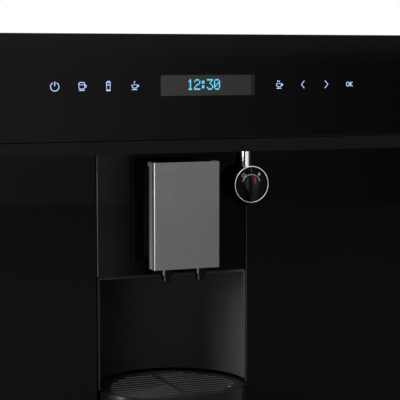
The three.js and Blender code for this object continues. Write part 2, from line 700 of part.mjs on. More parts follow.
// Moulded carriage inside the cover: it wraps round the column, with a rib in each groove
function dispenserCarriage() {
  const half = COVER_WIDTH / 2 - SHEET - SEAT;
  const inner = COLUMN_WIDTH / 2 + RUN;
  const [frontY, backY] = [COVER_FRONT + SHEET + SEAT, PANEL_FRONT - 1];
  const pocket = PANEL_FRONT - COLUMN_REACH - RUN;
  const rib = inner - GUIDE_GROOVE;
  const ribHalf = grooveHalf - RUN;
  const right = [
    [half, frontY], [half, backY], [inner, backY], [inner, grooveY + ribHalf], [rib, grooveY + ribHalf],
    [rib, grooveY - ribHalf], [inner, grooveY - ribHalf], [inner, pocket],
  ];
  const left = right.map(([x, y]) => [-x, y]).reverse();
  return plan(outline([...right, ...left]), carriageBottom, COVER_TOP - 2.8);
}

// Channel under the carriage that shares the coffee between the two outlets
function distributor() {
  const axisY = OUTLET_BACK;
  const half = OUTLET_SPACING / 2 + OUTLET_RADIUS;
  const depth = COLUMN_BACK - OUTLET_BACK - RUN - SEAT; // to the column's clearance
  const body = plan(
    rounded(-half, half, axisY - depth, axisY + depth, depth - 0.1), COVER_BOTTOM + 2.2, carriageBottom - SEAT,
    { curveSegments: 3 },
  );
  const drops = [-1, 1].map((side) =>
    rodZ(OUTLET_BORE, side * OUTLET_SPACING / 2, axisY, COVER_BOTTOM, carriageBottom - 5, 12));
  return cut(body, ...drops);
}

// Coffee outlet: a collar, a step and a tapered nose round a bore
const coffeeOutlet = () => turned([
  [OUTLET_BORE, 0], [3.4, 0], [4.4, 1], [5.2, 3.6], [OUTLET_RADIUS - 1.2, 6.4], [OUTLET_RADIUS - 0.4, 7],
  [OUTLET_RADIUS, 7.8], [OUTLET_RADIUS, OUTLET_TIP + 1.9], [OUTLET_BORE, OUTLET_TIP + 1.9], [OUTLET_BORE, 0],
]);

// ---------------------------------------------------------------- steam arm

const valveBack = -1; // relative to the arm axis, towards the user is negative
const valveRadius = DIAL_RADIUS - DIAL_RING - 0.6;
const bossEnd = valveRadius + 0.5; // of the upright boss, above and below the dial's centre

const steamTube = () => turned([
  [ARM_RADIUS - 1, bossEnd + SEAT], [ARM_RADIUS, bossEnd + SEAT],
  [ARM_RADIUS, DIAL_DROP + TRIM_HEIGHT - 6], [ARM_RADIUS - 1, DIAL_DROP + TRIM_HEIGHT - 6],
  [ARM_RADIUS - 1, bossEnd + SEAT],
], 20);

// Valve housing: an upright boss on the arm's axis and a drum behind the dial
function valveBody() {
  const boss = rodZ(8.5, 0, 0, -bossEnd, bossEnd);
  const drum = rodY(valveRadius, 0, 0, -DIAL_FACE + 5, valveBack, 28);
  return cut(join(boss, drum), rodY(3.4, 0, 0, -DIAL_FACE, -6, 16));
}

const knobRing = () => turned([
  [DIAL_RADIUS - DIAL_RING, 0], [DIAL_RADIUS - 1.2, -0.2], [DIAL_RADIUS, 0.9], [DIAL_RADIUS, 8],
  [DIAL_RADIUS - DIAL_RING, 8], [DIAL_RADIUS - DIAL_RING, 0],
].reverse().map(([r, y]) => [r, -y]), 36).rotateX(Math.PI / 2).translate(0, -DIAL_FACE, 0);

const dialPlate = () => cut(
  rodY(DIAL_RADIUS - DIAL_RING - SEAT, 0, 0, -DIAL_FACE + 1.2, -DIAL_FACE + 4.7, 32),
  rodY(3.4, 0, 0, -DIAL_FACE, 0, 16),
);

const steamNozzle = () => turned([
  [1.8, -7], [3.4, -7], [4.4, -5.6], [5.4, -1], [5.4, -SEAT], [1.8, -SEAT], [1.8, -7],
]).translate(0, 0, -bossEnd);

// Drop-shaped grip on a spindle: round at the top of the dial, drawn in along hollow flanks to a
// narrower end at the bottom, and ridged down its middle
function knobGrip() {
  const flank = [[8.6, -3.2], [6.6, -5.4], [5.3, -9], [4.4, -13], [GRIP_TIP, -GRIP_LENGTH + 0.8]];
  const foot = [GRIP_TIP - 0.8, -GRIP_LENGTH];
  const crown = Array.from({ length: 7 }, (_, i) => {
    const angle = (-6 + i * 16) * (Math.PI / 180);
    return [GRIP_RADIUS * Math.cos(angle), GRIP_RADIUS * Math.sin(angle)];
  });
  const right = [foot, ...[...flank].reverse(), ...crown];
  const outline = [...right, ...right.slice(0, -1).reverse().map(([u, v]) => [-u, v])];
  const topFirst = [...outline.slice(right.length - 1), ...outline.slice(0, right.length - 1)];
  const section = (share, down, y) => topFirst.map(([u, v]) => {
    const ridge = Math.max(-GRIP_RIDGE, Math.min(GRIP_RIDGE, u));
    return new THREE.Vector3(u + (ridge - u) * share, y, v * down);
  });
  const start = -DIAL_FACE + 0.9;
  const grip = loft([
    section(0, 1, start), section(0, 1, start - 1.5), section(0.55, 0.99, start - 5),
    section(1, 0.96, start - GRIP_HEIGHT),
  ]);
  return join(grip, rodY(3, 0, 0, start - 1, -8, 16));
}

// ---------------------------------------------------------------- drip drawer

// Straight back and sides with a half-elliptical front, relative to the drawer's middle
function trayOutline(half, nose, back) {
  const shape = new THREE.Shape();
  shape.moveTo(half, TRAY_START);
  shape.lineTo(half, back);
  shape.lineTo(-half, back);
  shape.lineTo(-half, TRAY_START);
  halfEllipse(shape, 0, TRAY_START, half, nose, -1);
  return new THREE.Shape(shape.getPoints(12));
}

// Half-elliptical at both ends: the shape of the grille and of the space below it
function dripOutline(inset, Kind = THREE.Shape) {
  const half = TRAY_HALF - inset;
  const shape = new Kind();
  halfEllipse(shape, 0, TRAY_START, half, DRIP_LENGTH - (inset - MOULD), 1);
  halfEllipse(shape, 0, TRAY_START, half, TRAY_NOSE - inset, -1);
  return new Kind(shape.getPoints(12));
}

const ledge = 6.8;
const grilleInset = MOULD + 1;

function dripTray() {
  const back = TRAY_START + TRAY_LENGTH;
  const body = plan(trayOutline(TRAY_HALF, TRAY_NOSE, back), TRAY_BOTTOM, TRAY_TOP);
  const seat = plan(dripOutline(MOULD + RUN), TRAY_TOP - ledge, TRAY_TOP + 1);
  const sump = plan(dripOutline(MOULD + 5), TRAY_BOTTOM + MOULD, TRAY_TOP);
  const bay = block(
    -TRAY_HALF + MOULD, TRAY_HALF - MOULD, TRAY_START + DRIP_LENGTH + 2 * MOULD, back - MOULD,
    TRAY_BOTTOM + MOULD, TRAY_TOP + 1,
  );
  return cut(body, seat, sump, bay);
}

// Skin round the drawer's nose
function dripFront() {
  const [gap, wall] = [SEAT, 2.2];
  const shape = new THREE.Shape();
  shape.absellipse(
    0, TRAY_START - SEAT, TRAY_HALF + gap + wall, TRAY_NOSE + gap + wall, Math.PI, Math.PI * 2, false, 0,
  );
  shape.absellipse(0, TRAY_START - SEAT, TRAY_HALF + gap, TRAY_NOSE + gap, Math.PI * 2, Math.PI, true, 0);
  shape.closePath();
  return plan(shape, TRAY_BOTTOM - 2, TRAY_TOP + 2, { curveSegments: 12 });
}

// Slotted steel grille with a turned-down rim. The slots end at an even margin from the edge.
function dripGrille() {
  const [margin, web, gauge] = [9, 5, 2];
  const rimHeight = ledge - SEAT;
  const plate = dripOutline(grilleInset);
  const [half, nose] = [TRAY_HALF - grilleInset, TRAY_NOSE - grilleInset];
  const tail = DRIP_LENGTH - (grilleInset - MOULD);
  const rows = Math.floor((nose + tail - 2 * margin - GRILLE_SLOT) / GRILLE_PITCH) + 1;
  const first = TRAY_START - nose + (nose + tail - (rows - 1) * GRILLE_PITCH) / 2;
  for (let row = 0; row < rows; row += 1) {
    const y = first + row * GRILLE_PITCH;
    const away = Math.abs(y - TRAY_START) + GRILLE_SLOT / 2;
    const length = y < TRAY_START ? nose - margin : tail - margin;
    const reach = (half - margin) * Math.sqrt(Math.max(0, 1 - (away / length) ** 2));
    if (reach > web + 2 * GRILLE_SLOT) {
      for (const [u0, u1] of [[web / 2, reach], [-reach, -web / 2]]) {
        plate.holes.push(rounded(
          u0, u1, y - GRILLE_SLOT / 2, y + GRILLE_SLOT / 2, GRILLE_SLOT / 2 - 0.05, THREE.Path,
        ));
      }
    }
  }
  const rim = dripOutline(grilleInset);
  rim.holes.push(dripOutline(grilleInset + SHEET, THREE.Path));
  const bottom = TRAY_TOP - ledge + SEAT;
  return join(
    plan(plate, bottom + rimHeight - gauge, bottom + rimHeight),
    plan(rim, bottom, bottom + rimHeight - gauge / 2),
  );
}

// Bin for the used grounds, drawn in towards its base
function groundsContainer() {
  const bayStart = TRAY_START + DRIP_LENGTH + 2 * MOULD;
  const bayEnd = TRAY_START + TRAY_LENGTH - MOULD;
  const middle = (bayStart + bayEnd) / 2;
  const [halfX, halfY] = [TRAY_HALF - MOULD - SEAT, (bayEnd - bayStart) / 2 - SEAT];
  const bottom = TRAY_BOTTOM + MOULD + SEAT;
  const top = TRAY_TOP - 2;
  return cut(
    tapered([[halfX - 5, halfY - 5, bottom, 8], [halfX, halfY, top, 8]], 0, middle),
    tapered([[halfX - 7, halfY - 7, bottom + 2, 6], [halfX - 2, halfY - 2, top + 0.5, 6]], 0, middle),
  );
}

// ---------------------------------------------------------------- water tank

const tankTop = CARCASS_TOP - 2.5;
const seatTop = TANK_FLOOR - SEAT;
const outletRadius = 9;

function waterTank() {
  const [halfX, halfY] = [TANK_WIDTH / 2, TANK_DEPTH / 2];
  const shell = cut(
    tapered([[halfX - 4, halfY - 4, TANK_FLOOR, 7], [halfX - 1.5, halfY - 1.5, TANK_FLOOR + 14, 8],
      [halfX, halfY, tankTop, 8]], 0, 0),
    tapered([[halfX - 6.5, halfY - 6.5, TANK_FLOOR + 2.5, 5], [halfX - 4, halfY - 4, TANK_FLOOR + 16, 6],
      [halfX - 2.5, halfY - 2.5, tankTop + 1, 6]], 0, 0),
  );
  const outlet = rodZ(outletRadius, 0, 0, TANK_FLOOR - 7, TANK_FLOOR + 1.5, 20);
  return cut(join(shell, outlet), rodZ(4, 0, 0, TANK_FLOOR - 8, TANK_FLOOR + 4, 14));
}

// Lid with a rim inside the tank and a raised bar to lift the tank by
function tankLid() {
  const [halfX, halfY] = [TANK_WIDTH / 2, TANK_DEPTH / 2];
  const bottom = tankTop + SEAT;
  const plate = plan(rounded(-halfX, halfX, -halfY, halfY, 8), bottom, bottom + 2.5);
  const inner = rounded(-halfX + 3.5, halfX - 3.5, -halfY + 3.5, halfY - 3.5, 5);
  inner.holes.push(rounded(-halfX + 5.5, halfX - 5.5, -halfY + 5.5, halfY - 5.5, 4, THREE.Path));
  const lip = plan(inner, bottom - 5, bottom + 1);
  const bar = plan(rounded(-32, 32, -7, 7, 6.9), bottom + 2, bottom + 8);
  return join(plate, lip, bar);
}

// Folded shelf on the bulkhead, with gussets under it
function tankSeat() {
  const back = TANK_Y + TANK_DEPTH / 2;
  const start = BULKHEAD_Y + SHEET + SEAT;
  const half = TANK_WIDTH / 2 - 6;
  const shelf = block(TANK_X - half, TANK_X + half, start, back, seatTop - 4, seatTop);
  const flange = block(TANK_X - half, TANK_X + half, start, start + 2, seatTop - 50, seatTop - 2);
  const gussets = [-1, 1].map((side) => {
    const x = TANK_X + side * (half - 1);
    return across(
      outline([[start + 1, seatTop - 48], [back - 20, seatTop - 2], [start + 1, seatTop - 2]]), x - 1, x + 1,
    );
  });
  const socket = rodZ(outletRadius + SEAT, TANK_X, TANK_Y, seatTop - 9, seatTop + 5);
  return cut(join(shelf, flange, ...gussets), socket);
}

// ---------------------------------------------------------------- beans and grinder

const hopperRim = CARCASS_TOP + SEAT;
const hingeY = HOPPER_Y + HOPPER_DEPTH / 2 + 12;
const hingeZ = hopperRim + 6;

// Funnel that hangs in the top sheet by its rim, with two ears for the lid
function beanHopper() {
  const [halfX, halfY, mouth] = [HOPPER_WIDTH / 2, HOPPER_DEPTH / 2, 22];
  const throat = HOPPER_OUTLET + 12;
  const shelfZ = CARCASS_TOP - 20;
  const outside = join(
    tapered([[mouth, mouth, HOPPER_OUTLET, 8], [mouth, mouth, throat, 8], [halfX, halfY, shelfZ, 8],
      [halfX, halfY, hopperRim + 1.5, 8]], HOPPER_X, HOPPER_Y),
    tapered([[halfX + 8, halfY + 8, hopperRim, 12], [halfX + 8, halfY + 8, hopperRim + 1.5, 12]],
      HOPPER_X, HOPPER_Y),
    ...[-1, 1].map((side) => across(
      rounded(hingeY - 4.5, hingeY + 4.5, hopperRim, hingeZ + 4.5, 4.4),
      HOPPER_X + side * 60 - 2.5, HOPPER_X + side * 60 + 2.5,
    )),
    ...[-1, 1].map((side) => block(
      HOPPER_X + side * 60 - 6, HOPPER_X + side * 60 + 6, hingeY - 8, hingeY + 4.5, hopperRim, hopperRim + 1.5,
    )),
  );
  return cut(
    outside,
    tapered([[mouth - 2, mouth - 2, HOPPER_OUTLET - 1, 6], [mouth - 2, mouth - 2, throat, 6],
      [halfX - 2, halfY - 2, shelfZ, 6], [halfX - 2, halfY - 2, hopperRim + 3, 6]], HOPPER_X, HOPPER_Y),
    rodX(2.3, hingeY, hingeZ, HOPPER_X - 80, HOPPER_X + 80, 12),
  );
}

// Lid with a seal lip below and a barrel and pins along its back edge
function beanLid() {
  const [halfX, halfY] = [HOPPER_WIDTH / 2 + 6, HOPPER_DEPTH / 2 + 5];
  const bottom = hopperRim + 1.5 + SEAT;
  const plate = plan(
    rounded(HOPPER_X - halfX, HOPPER_X + halfX, HOPPER_Y - halfY, HOPPER_Y + halfY, 10), bottom, bottom + 3,
  );
  const [lipX, lipY] = [HOPPER_WIDTH / 2 - 4, HOPPER_DEPTH / 2 - 4];
  const lip = rounded(HOPPER_X - lipX, HOPPER_X + lipX, HOPPER_Y - lipY, HOPPER_Y + lipY, 6);
  lip.holes.push(
    rounded(HOPPER_X - lipX + 2, HOPPER_X + lipX - 2, HOPPER_Y - lipY + 2, HOPPER_Y + lipY - 2, 5, THREE.Path),
  );
  const neck = block(HOPPER_X - 50, HOPPER_X + 50, HOPPER_Y + halfY - 3, hingeY, bottom, bottom + 3);
  const barrel = rodX(3.4, hingeY, hingeZ, HOPPER_X - 57, HOPPER_X + 57, 14);
  const pins = rodX(2, hingeY, hingeZ, HOPPER_X - 64, HOPPER_X + 64, 12);
  return join(plate, plan(lip, bottom - 4, bottom + 1), neck, barrel, pins);
}

// Scalloped knob on a stem through the top sheet
function grinderDial() {
  const lobes = 18;
  const rim = new THREE.Shape();
  for (let i = 0; i < lobes * 2; i += 1) {
    const angle = (i * Math.PI) / lobes;
    const radius = i % 2 ? 13.8 : 15;
    rim[i ? 'lineTo' : 'moveTo'](radius * Math.cos(angle), radius * Math.sin(angle));
  }
  rim.closePath();
  return join(
    plan(rim, CARCASS_TOP + SEAT, CARCASS_TOP + 9),
    block(-1.2, 1.2, 2, 13, CARCASS_TOP + 8, CARCASS_TOP + 10),
    rodZ(8, 0, 0, CARCASS_TOP - 14, CARCASS_TOP + 1),
  );
}

const grinderTop = HOPPER_OUTLET - SEAT;
const grinderBottom = HOPPER_OUTLET - 62;

// Housing with the bean throat, the burr chamber, a chute to the brewing group and a mounting arm
function grinderHousing() {
  const drum = rodZ(GRINDER_RADIUS, 0, 0, grinderBottom, grinderTop, 28);
  const arm = block(-22, 22, BULKHEAD_Y + SHEET + SEAT - HOPPER_Y, -30, grinderBottom + 10, grinderBottom + 42);
  const chuteEnd = BREW_X - HOPPER_X - 36;
  const chute = (half, start, spare) => front(outline([
    [start, grinderBottom + 22 - half], [chuteEnd + spare, grinderBottom - 4 - half],
    [chuteEnd + spare, grinderBottom - 4 + half], [start, grinderBottom + 22 + half],
  ]), -half, half);
  const chamber = turned([
    [0, grinderBottom + 4], [BURR_RADIUS + 1, grinderBottom + 4], [BURR_RADIUS + 1, grinderBottom + 42],
    [20, grinderTop + 1], [0, grinderTop + 1],
  ]);
  return cut(
    join(drum, arm, chute(11, 30, 0)),
    chamber,
    chute(8.5, 8, 2),
    rodZ(4.4, 0, 0, grinderBottom - 2, grinderBottom + 6, 16),
  );
}

// Cone burr with cutting teeth round it, on the motor's shaft
function grinderBurr() {
  const teeth = 12;
  const [foot, top] = [grinderBottom + 5, grinderBottom + 32];
  const ring = (tipRadius, z, turn) => Array.from({ length: teeth * 2 }, (_, i) => {
    const angle = (i * Math.PI) / teeth + turn;
    const radius = i % 2 ? tipRadius * 0.86 : tipRadius;
    return new THREE.Vector3(radius * Math.cos(angle), radius * Math.sin(angle), z);
  });
  const cone = loft([ring(BURR_RADIUS, foot, 0), ring(BURR_RADIUS, foot + 8, 0.1), ring(8, top, 0.5)]);
  return join(cone, rodZ(4, 0, 0, grinderBottom - SEAT, foot + 2, 16), rodZ(5, 0, 0, top - 1, top + 6, 12));
}

// Motor under the housing, with a flange and cooling slots round its can
function grinderMotor() {
  const top = grinderBottom - SEAT;
  const can = turned([
    [0, top - MOTOR_HEIGHT], [12, top - MOTOR_HEIGHT], [13, top - MOTOR_HEIGHT + 6],
    [MOTOR_RADIUS - 1, top - MOTOR_HEIGHT + 8], [MOTOR_RADIUS, top - MOTOR_HEIGHT + 10],
    [MOTOR_RADIUS, top - 5], [MOTOR_RADIUS + 6, top - 5], [MOTOR_RADIUS + 6, top], [0, top],
  ]);
  const slots = Array.from({ length: 6 }, (_, i) =>
    block(MOTOR_RADIUS - 6, MOTOR_RADIUS + 2, -3, 3, top - MOTOR_HEIGHT + 20, top - 40)
      .rotateZ((i * Math.PI) / 3));
  return cut(can, ...slots, rodZ(4.4, 0, 0, top - 3, top + 1, 16));
}

// ---------------------------------------------------------------- brewing group

const brewBottom = TRAY_TOP + 16;

// Block with the brewing chamber, open below over the grounds bin
function brewUnit() {
  const [x, y, z] = [BREW_X, BREW_Y, brewBottom];
  const foot = cut(
    block(x - 45, x + 45, y - 40, y + 40, z, z + 50),
    block(x - 30, x + 30, y - 30, y + 30, z - 1, z + 46),
  );
  const barrel = rodZ(BREW_BORE + 6, x, y, z + 40, z + 150, 24);
  const head = plan(rounded(x - 35, x + 35, y - 30, y + 30, 8), z + 145, z + BREW_HEIGHT);
  const arm = block(x - 25, x + 25, BULKHEAD_Y + SHEET + SEAT, y - 18, z + 100, z + 135);
  const ribs = [-1, 1].map((side) => block(
    x + side * 30 - 3, x + side * 30 + 3, y - 34, y + 34, z + 45, z + 150,
  ));
  const stub = rodZ(5, x, y - 15, z + BREW_HEIGHT - 2, z + BREW_HEIGHT + 8, 16);
  const body = join(foot, barrel, head, arm, ...ribs, stub);
  return cut(
    body,
    rodZ(BREW_BORE, x, y, z + 30, z + 165, 24),
    rodZ(2, x, y - 15, z + 160, z + BREW_HEIGHT + 10, 10),
  );
}

const brewPiston = () => turned([
  [0, brewBottom + 36], [6, brewBottom + 36], [6, brewBottom + 84], [BREW_BORE - 0.4, brewBottom + 86],
  [BREW_BORE - 0.4, brewBottom + 95], [BREW_BORE - 2, brewBottom + 96.5], [BREW_BORE - 2, brewBottom + 99],
  [BREW_BORE - 0.4, brewBottom + 100.5], [BREW_BORE - 0.4, brewBottom + 112], [0, brewBottom + 112],
]);

const heaterY = BREW_Y + 40 + SEAT;
const heaterBottom = brewBottom + 55;
const heaterTop = heaterBottom + HEATER_HEIGHT + 10; // end of the steam stub
const heaterSide = BREW_X + HEATER_WIDTH / 2 + 6; // end of the water stub

// Cast heater with cooling ribs on its back and a stub for each water line
function thermoblock() {
  const x0 = BREW_X - HEATER_WIDTH / 2;
  const [x1, back] = [x0 + HEATER_WIDTH, heaterY + HEATER_DEPTH];
  const points = [[x1, back], [x1, heaterY], [x0, heaterY], [x0, back]];
  const ribs = 5;
  const pitch = (x1 - x0) / (ribs * 2 + 1);
  for (let i = 1; i <= ribs; i += 1) {
    const x = x0 + (i * 2 - 1) * pitch;
    points.push([x, back], [x, back + 7], [x + pitch, back + 7], [x + pitch, back]);
  }
  return join(
    plan(outline(points.reverse()), heaterBottom, heaterBottom + HEATER_HEIGHT),
    rodZ(5, x1 - 20, heaterY + HEATER_DEPTH / 2, heaterBottom + HEATER_HEIGHT - 1, heaterTop, 16),
    rodX(5, heaterY + HEATER_DEPTH / 2, brewBottom + 80, x1 - 1, heaterSide, 16),
  );
}

const pumpZ = CARCASS_LIFT + SHEET + SEAT + PUMP_RADIUS + 15;

// Vibration pump on a rubber foot
const waterPump = () => join(
  block(PUMP_X - 26, PUMP_X + 26, PUMP_Y - 30, PUMP_Y + 30, pumpZ - PUMP_RADIUS - 15, pumpZ - 12),
  rodY(PUMP_RADIUS, PUMP_X, pumpZ, PUMP_Y - 34, PUMP_Y + 34, 24),
  rodY(12, PUMP_X, pumpZ, PUMP_Y - 50, PUMP_Y + 45, 16),
  rodY(5, PUMP_X, pumpZ, PUMP_Y - 58, PUMP_Y - 48, 14),
  rodZ(5, PUMP_X, PUMP_Y + 20, pumpZ + 18, pumpZ + 30, 14),
);

// Power board on posts in front of the rear wall
function powerBoard() {
  const rear = CARCASS_BACK - SHEET - SEAT;
  const x0 = -WALL_INNER + BOARD_SIDE;
  const [x1, z0, z1] = [x0 + BOARD_WIDTH, BOARD_BOTTOM, BOARD_TOP];
  const face = rear - 8;
  const posts = [[x0 + 8, z0 + 8], [x1 - 8, z0 + 8], [x0 + 8, z1 - 8], [x1 - 8, z1 - 8]].map(([x, z]) =>
    rodY(3, x, z, face - 1, rear, 8));
  const relays = [0, 1, 2].map((i) => block(
    x0 + 20 + i * 30, x0 + 42 + i * 30, face - 18, face - 1, z1 - 50, z1 - 22,
  ));
  const transformer = block(x1 - 62, x1 - 14, face - 34, face - 1, z0 + 20, z0 + 62);
  const capacitors = [0, 1].map((i) => rodY(9, x0 + 30 + i * 26, z0 + 50, face - 26, face - 1, 12));
  return join(block(x0, x1, face - BOARD_GAUGE, face, z0, z1), ...posts, ...relays, transformer, ...capacitors);
}

// A rounded rectangle of the given half sizes round the inlet's axis
const inletOutline = (halfX, halfZ, radius, Kind) =>
  rounded(INLET_X - halfX, INLET_X + halfX, INLET_Z - halfZ, INLET_Z + halfZ, radius, Kind);

// Three-pin appliance inlet in the rear wall
function mainsInlet() {
  const shell = join(
    front(inletOutline(13.7, 9.7, 3), CARCASS_BACK - 22, CARCASS_BACK + 1),
    front(inletOutline(20, 14, 4), CARCASS_BACK + SEAT, CARCASS_BACK + 3.3),
  );
  const socket = front(inletOutline(11, 7.5, 2.5), CARCASS_BACK - 15, CARCASS_BACK + 5);
  const pins = [-7, 0, 7].map((dx, i) => block(
    INLET_X + dx - 1.2, INLET_X + dx + 1.2, CARCASS_BACK - 16, CARCASS_BACK - 2,
    INLET_Z - 2 + (i === 1 ? 3 : -1), INLET_Z + 2 + (i === 1 ? 3 : -1),
  ));
  return join(cut(shell, socket), ...pins);
}

const waterHose = () => hose(4.5, [
  [TANK_X, TANK_Y, TANK_FLOOR - 7 - SEAT], [TANK_X, TANK_Y + 1, TANK_FLOOR - 24],
  [TANK_X - 2, TANK_Y + 25, TANK_FLOOR - 75], [PUMP_X + 8, PUMP_Y - 25, pumpZ + 100],
  [PUMP_X, PUMP_Y + 19, pumpZ + 55], [PUMP_X, PUMP_Y + 20, pumpZ + 30 + SEAT],
]);

const pressureHose = () => hose(3.5, [
  [PUMP_X, PUMP_Y - 58 - SEAT, pumpZ], [PUMP_X, PUMP_Y - 70, pumpZ], [PUMP_X - 22, PUMP_Y - 84, pumpZ + 20],
  [heaterSide + 54, heaterY + 18, brewBottom + 62],
  [heaterSide + 14, heaterY + HEATER_DEPTH / 2, brewBottom + 79],
  [heaterSide + SEAT, heaterY + HEATER_DEPTH / 2, brewBottom + 80],
]);

const coffeeHose = () => hose(3.5, [
  [BREW_X, BREW_Y - 15, brewBottom + BREW_HEIGHT + 8 + SEAT],
  [BREW_X, BREW_Y - 16, brewBottom + BREW_HEIGHT + 20],
  [BREW_X - 3, BREW_Y - 40, 291], [-24, BULKHEAD_Y + 1, 292], [-31, 30, 280],
  [DISPENSER_X, 4, COVER_TOP - hoseDrop], [DISPENSER_X, PANEL_BACK + SEAT, COVER_TOP - hoseDrop],
]);

const steamHose = () => hose(3, [
  [heaterSide - 26, heaterY + HEATER_DEPTH / 2, heaterTop + SEAT],
  [heaterSide - 26, heaterY + 16, heaterTop + 15],
  [10, 195, 300],
  [26, 140, TRIM_TOP - 8], [40, BULKHEAD_Y + 1, TRIM_TOP - 5.5], [51, 22, TRIM_TOP - 5.5],
  [ARM_X, 2, TRIM_TOP - 5.5], [ARM_X, PANEL_FRONT - 2, TRIM_TOP - 5.5],
]);

// ---------------------------------------------------------------- assembly

function mountingFrame() {
  const group = new THREE.Group();
  place('base_pan', basePan(), zincSheet, group);
  placePair('outer_rail', outerRail(), railSteel, group);
  placePair('middle_rail', middleRail(), railSteel, group);
  return group;
}

function carcass() {
  const group = new THREE.Group();
  placePair('inner_rail', innerRail(), railSteel, group);
  place('chassis_floor', chassisFloor(), zincSheet, group);
  placePair('side_wall', sideWall(), zincSheet, group);
  place('rear_wall', rearWall(), zincSheet, group);
  place('top_cover', topCover(), zincSheet, group);
  place('bulkhead', bulkhead(), zincSheet, group);
  place('front_frame', frontFrame(), blackPlastic, group);
  place('front_sill', frontSill(), blackPlastic, group);
  place('niche_shell', nicheShell(), nicheSatin, group);
  place('mains_inlet', mainsInlet(), blackPlastic, group);
  return group;
}

function fascia() {
  const group = new THREE.Group();
  place('left_glass', leftGlass(), blackGlass, group);
  place('right_glass', rightGlass(), blackGlass, group);
  place('middle_glass', middleGlass(), blackGlass, group);
  place('control_glass', controlGlass(), blackGlass, group);
  place('trim_rail', trimRail(), darkTrim, group);
  place('control_box', controlBox(), blackPlastic, group);
  place('touch_board', touchBoard(), boardGreen, group);
  place('display_module', displayModule(), screenGrey, group);
  return group;
}

function dispenser() {
  const group = new THREE.Group();
  place('dispenser_column', dispenserColumn(), blackPlastic, group);
  const slider = new THREE.Group();
  slider.position.x = DISPENSER_X;
  place('dispenser_cover', dispenserCover(), brushedSteel, slider);
  place('dispenser_carriage', dispenserCarriage(), blackPlastic, slider);
  place('distributor', distributor(), blackPlastic, slider).position.y = COVER_FRONT;
  for (const [name, side] of [['coffee_outlet_left', -1], ['coffee_outlet_right', 1]]) {
    const outlet = place(name, coffeeOutlet(), blackPlastic, slider);
    outlet.position.set(side * OUTLET_SPACING / 2, COVER_FRONT + OUTLET_BACK, COVER_BOTTOM - OUTLET_TIP);
  }
  group.add(slider);
  return group;
}

function steamArm() {
  const group = new THREE.Group();
  place('swivel_block', swivelBlock(), polishedChrome, group);
  const arm = new THREE.Group();
  arm.position.set(ARM_X, ARM_Y, DIAL_Z);
  place('steam_tube', steamTube(), polishedChrome, arm);
  place('valve_body', valveBody(), blackPlastic, arm);
  place('knob_ring', knobRing(), polishedChrome, arm);
  place('dial_plate', dialPlate(), blackGlass, arm);
  place('steam_nozzle', steamNozzle(), blackPlastic, arm);
  place('knob_grip', knobGrip(), blackPlastic, arm);
  group.add(arm);
  return group;
}

function dripDrawer() {
  const group = new THREE.Group();
  group.position.x = NICHE_X;
  place('drip_tray', dripTray(), blackPlastic, group);
  place('drip_front', dripFront(), blackPlastic, group);
  place('drip_grille', dripGrille(), brushedSteel, group);
  place('grounds_container', groundsContainer(), greyPlastic, group);
  return group;
}

function waterSupply() {
  const group = new THREE.Group();
  const tank = new THREE.Group();
  tank.position.set(TANK_X, TANK_Y, 0);
  place('water_tank', waterTank(), clearPlastic, tank);
  place('tank_lid', tankLid(), smokedPlastic, tank);
  group.add(tank);
  place('tank_seat', tankSeat(), zincSheet, group);
  place('water_pump', waterPump(), greyPlastic, group);
  place('water_hose', waterHose(), whiteHose, group);
  place('pressure_hose', pressureHose(), whiteHose, group);
  return group;
}

function grinder() {
  const group = new THREE.Group();
  place('bean_hopper', beanHopper(), smokedPlastic, group);
  place('bean_lid', beanLid(), smokedPlastic, group);
  place('grinder_dial', grinderDial(), blackPlastic, group).position.set(GRIND_DIAL_X, GRIND_DIAL_Y, 0);
  const mill = new THREE.Group();
  mill.position.set(HOPPER_X, HOPPER_Y, 0);
  place('grinder_housing', grinderHousing(), greyPlastic, mill);
  place('grinder_burr', grinderBurr(), burrSteel, mill);
  place('grinder_motor', grinderMotor(), castAluminium, mill);
  group.add(mill);
  return group;
}

function brewingGroup() {
  const group = new THREE.Group();
  place('brew_unit', brewUnit(), greyPlastic, group);
  place('brew_piston', brewPiston(), blackPlastic, group).position.set(BREW_X, BREW_Y, 0);
  place('thermoblock', thermoblock(), castAluminium, group);
  place('power_board', powerBoard(), boardGreen, group);
  place('coffee_hose', coffeeHose(), whiteHose, group);
  place('steam_hose', steamHose(), whiteHose, group);
  return group;
}

machineParts.add(
  mountingFrame(), carcass(), fascia(), dispenser(), steamArm(), dripDrawer(), waterSupply(), grinder(),
  brewingGroup(),
);

export default machineParts;
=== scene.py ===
"""The looks of a built-in coffee machine that rolls out of its cabinet, round its packed frame.

Metres, +X to the user's right, +Y into the cabinet, +Z up.
"""

import contextlib
import json
import math

import bmesh
import bpy
from bpy.props import FloatProperty, FloatVectorProperty, IntProperty, PointerProperty
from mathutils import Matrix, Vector


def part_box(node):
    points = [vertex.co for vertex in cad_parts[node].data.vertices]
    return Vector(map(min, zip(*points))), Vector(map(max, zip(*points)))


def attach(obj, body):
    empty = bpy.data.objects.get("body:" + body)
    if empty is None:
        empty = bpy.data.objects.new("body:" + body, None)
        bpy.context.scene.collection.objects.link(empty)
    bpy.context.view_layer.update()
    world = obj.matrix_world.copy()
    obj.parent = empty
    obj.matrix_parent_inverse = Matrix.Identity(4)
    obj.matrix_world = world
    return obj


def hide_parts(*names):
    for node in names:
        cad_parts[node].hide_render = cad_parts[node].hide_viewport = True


bl_info = {
    "name": "Built-in coffee machine",
    "version": (1, 0, 0),
    "blender": (4, 5, 0),
    "location": "3D View > Sidebar > Coffee machine",
    "description": "Finishes and detailed pieces of a built-in coffee machine",
    "category": "Object",
}

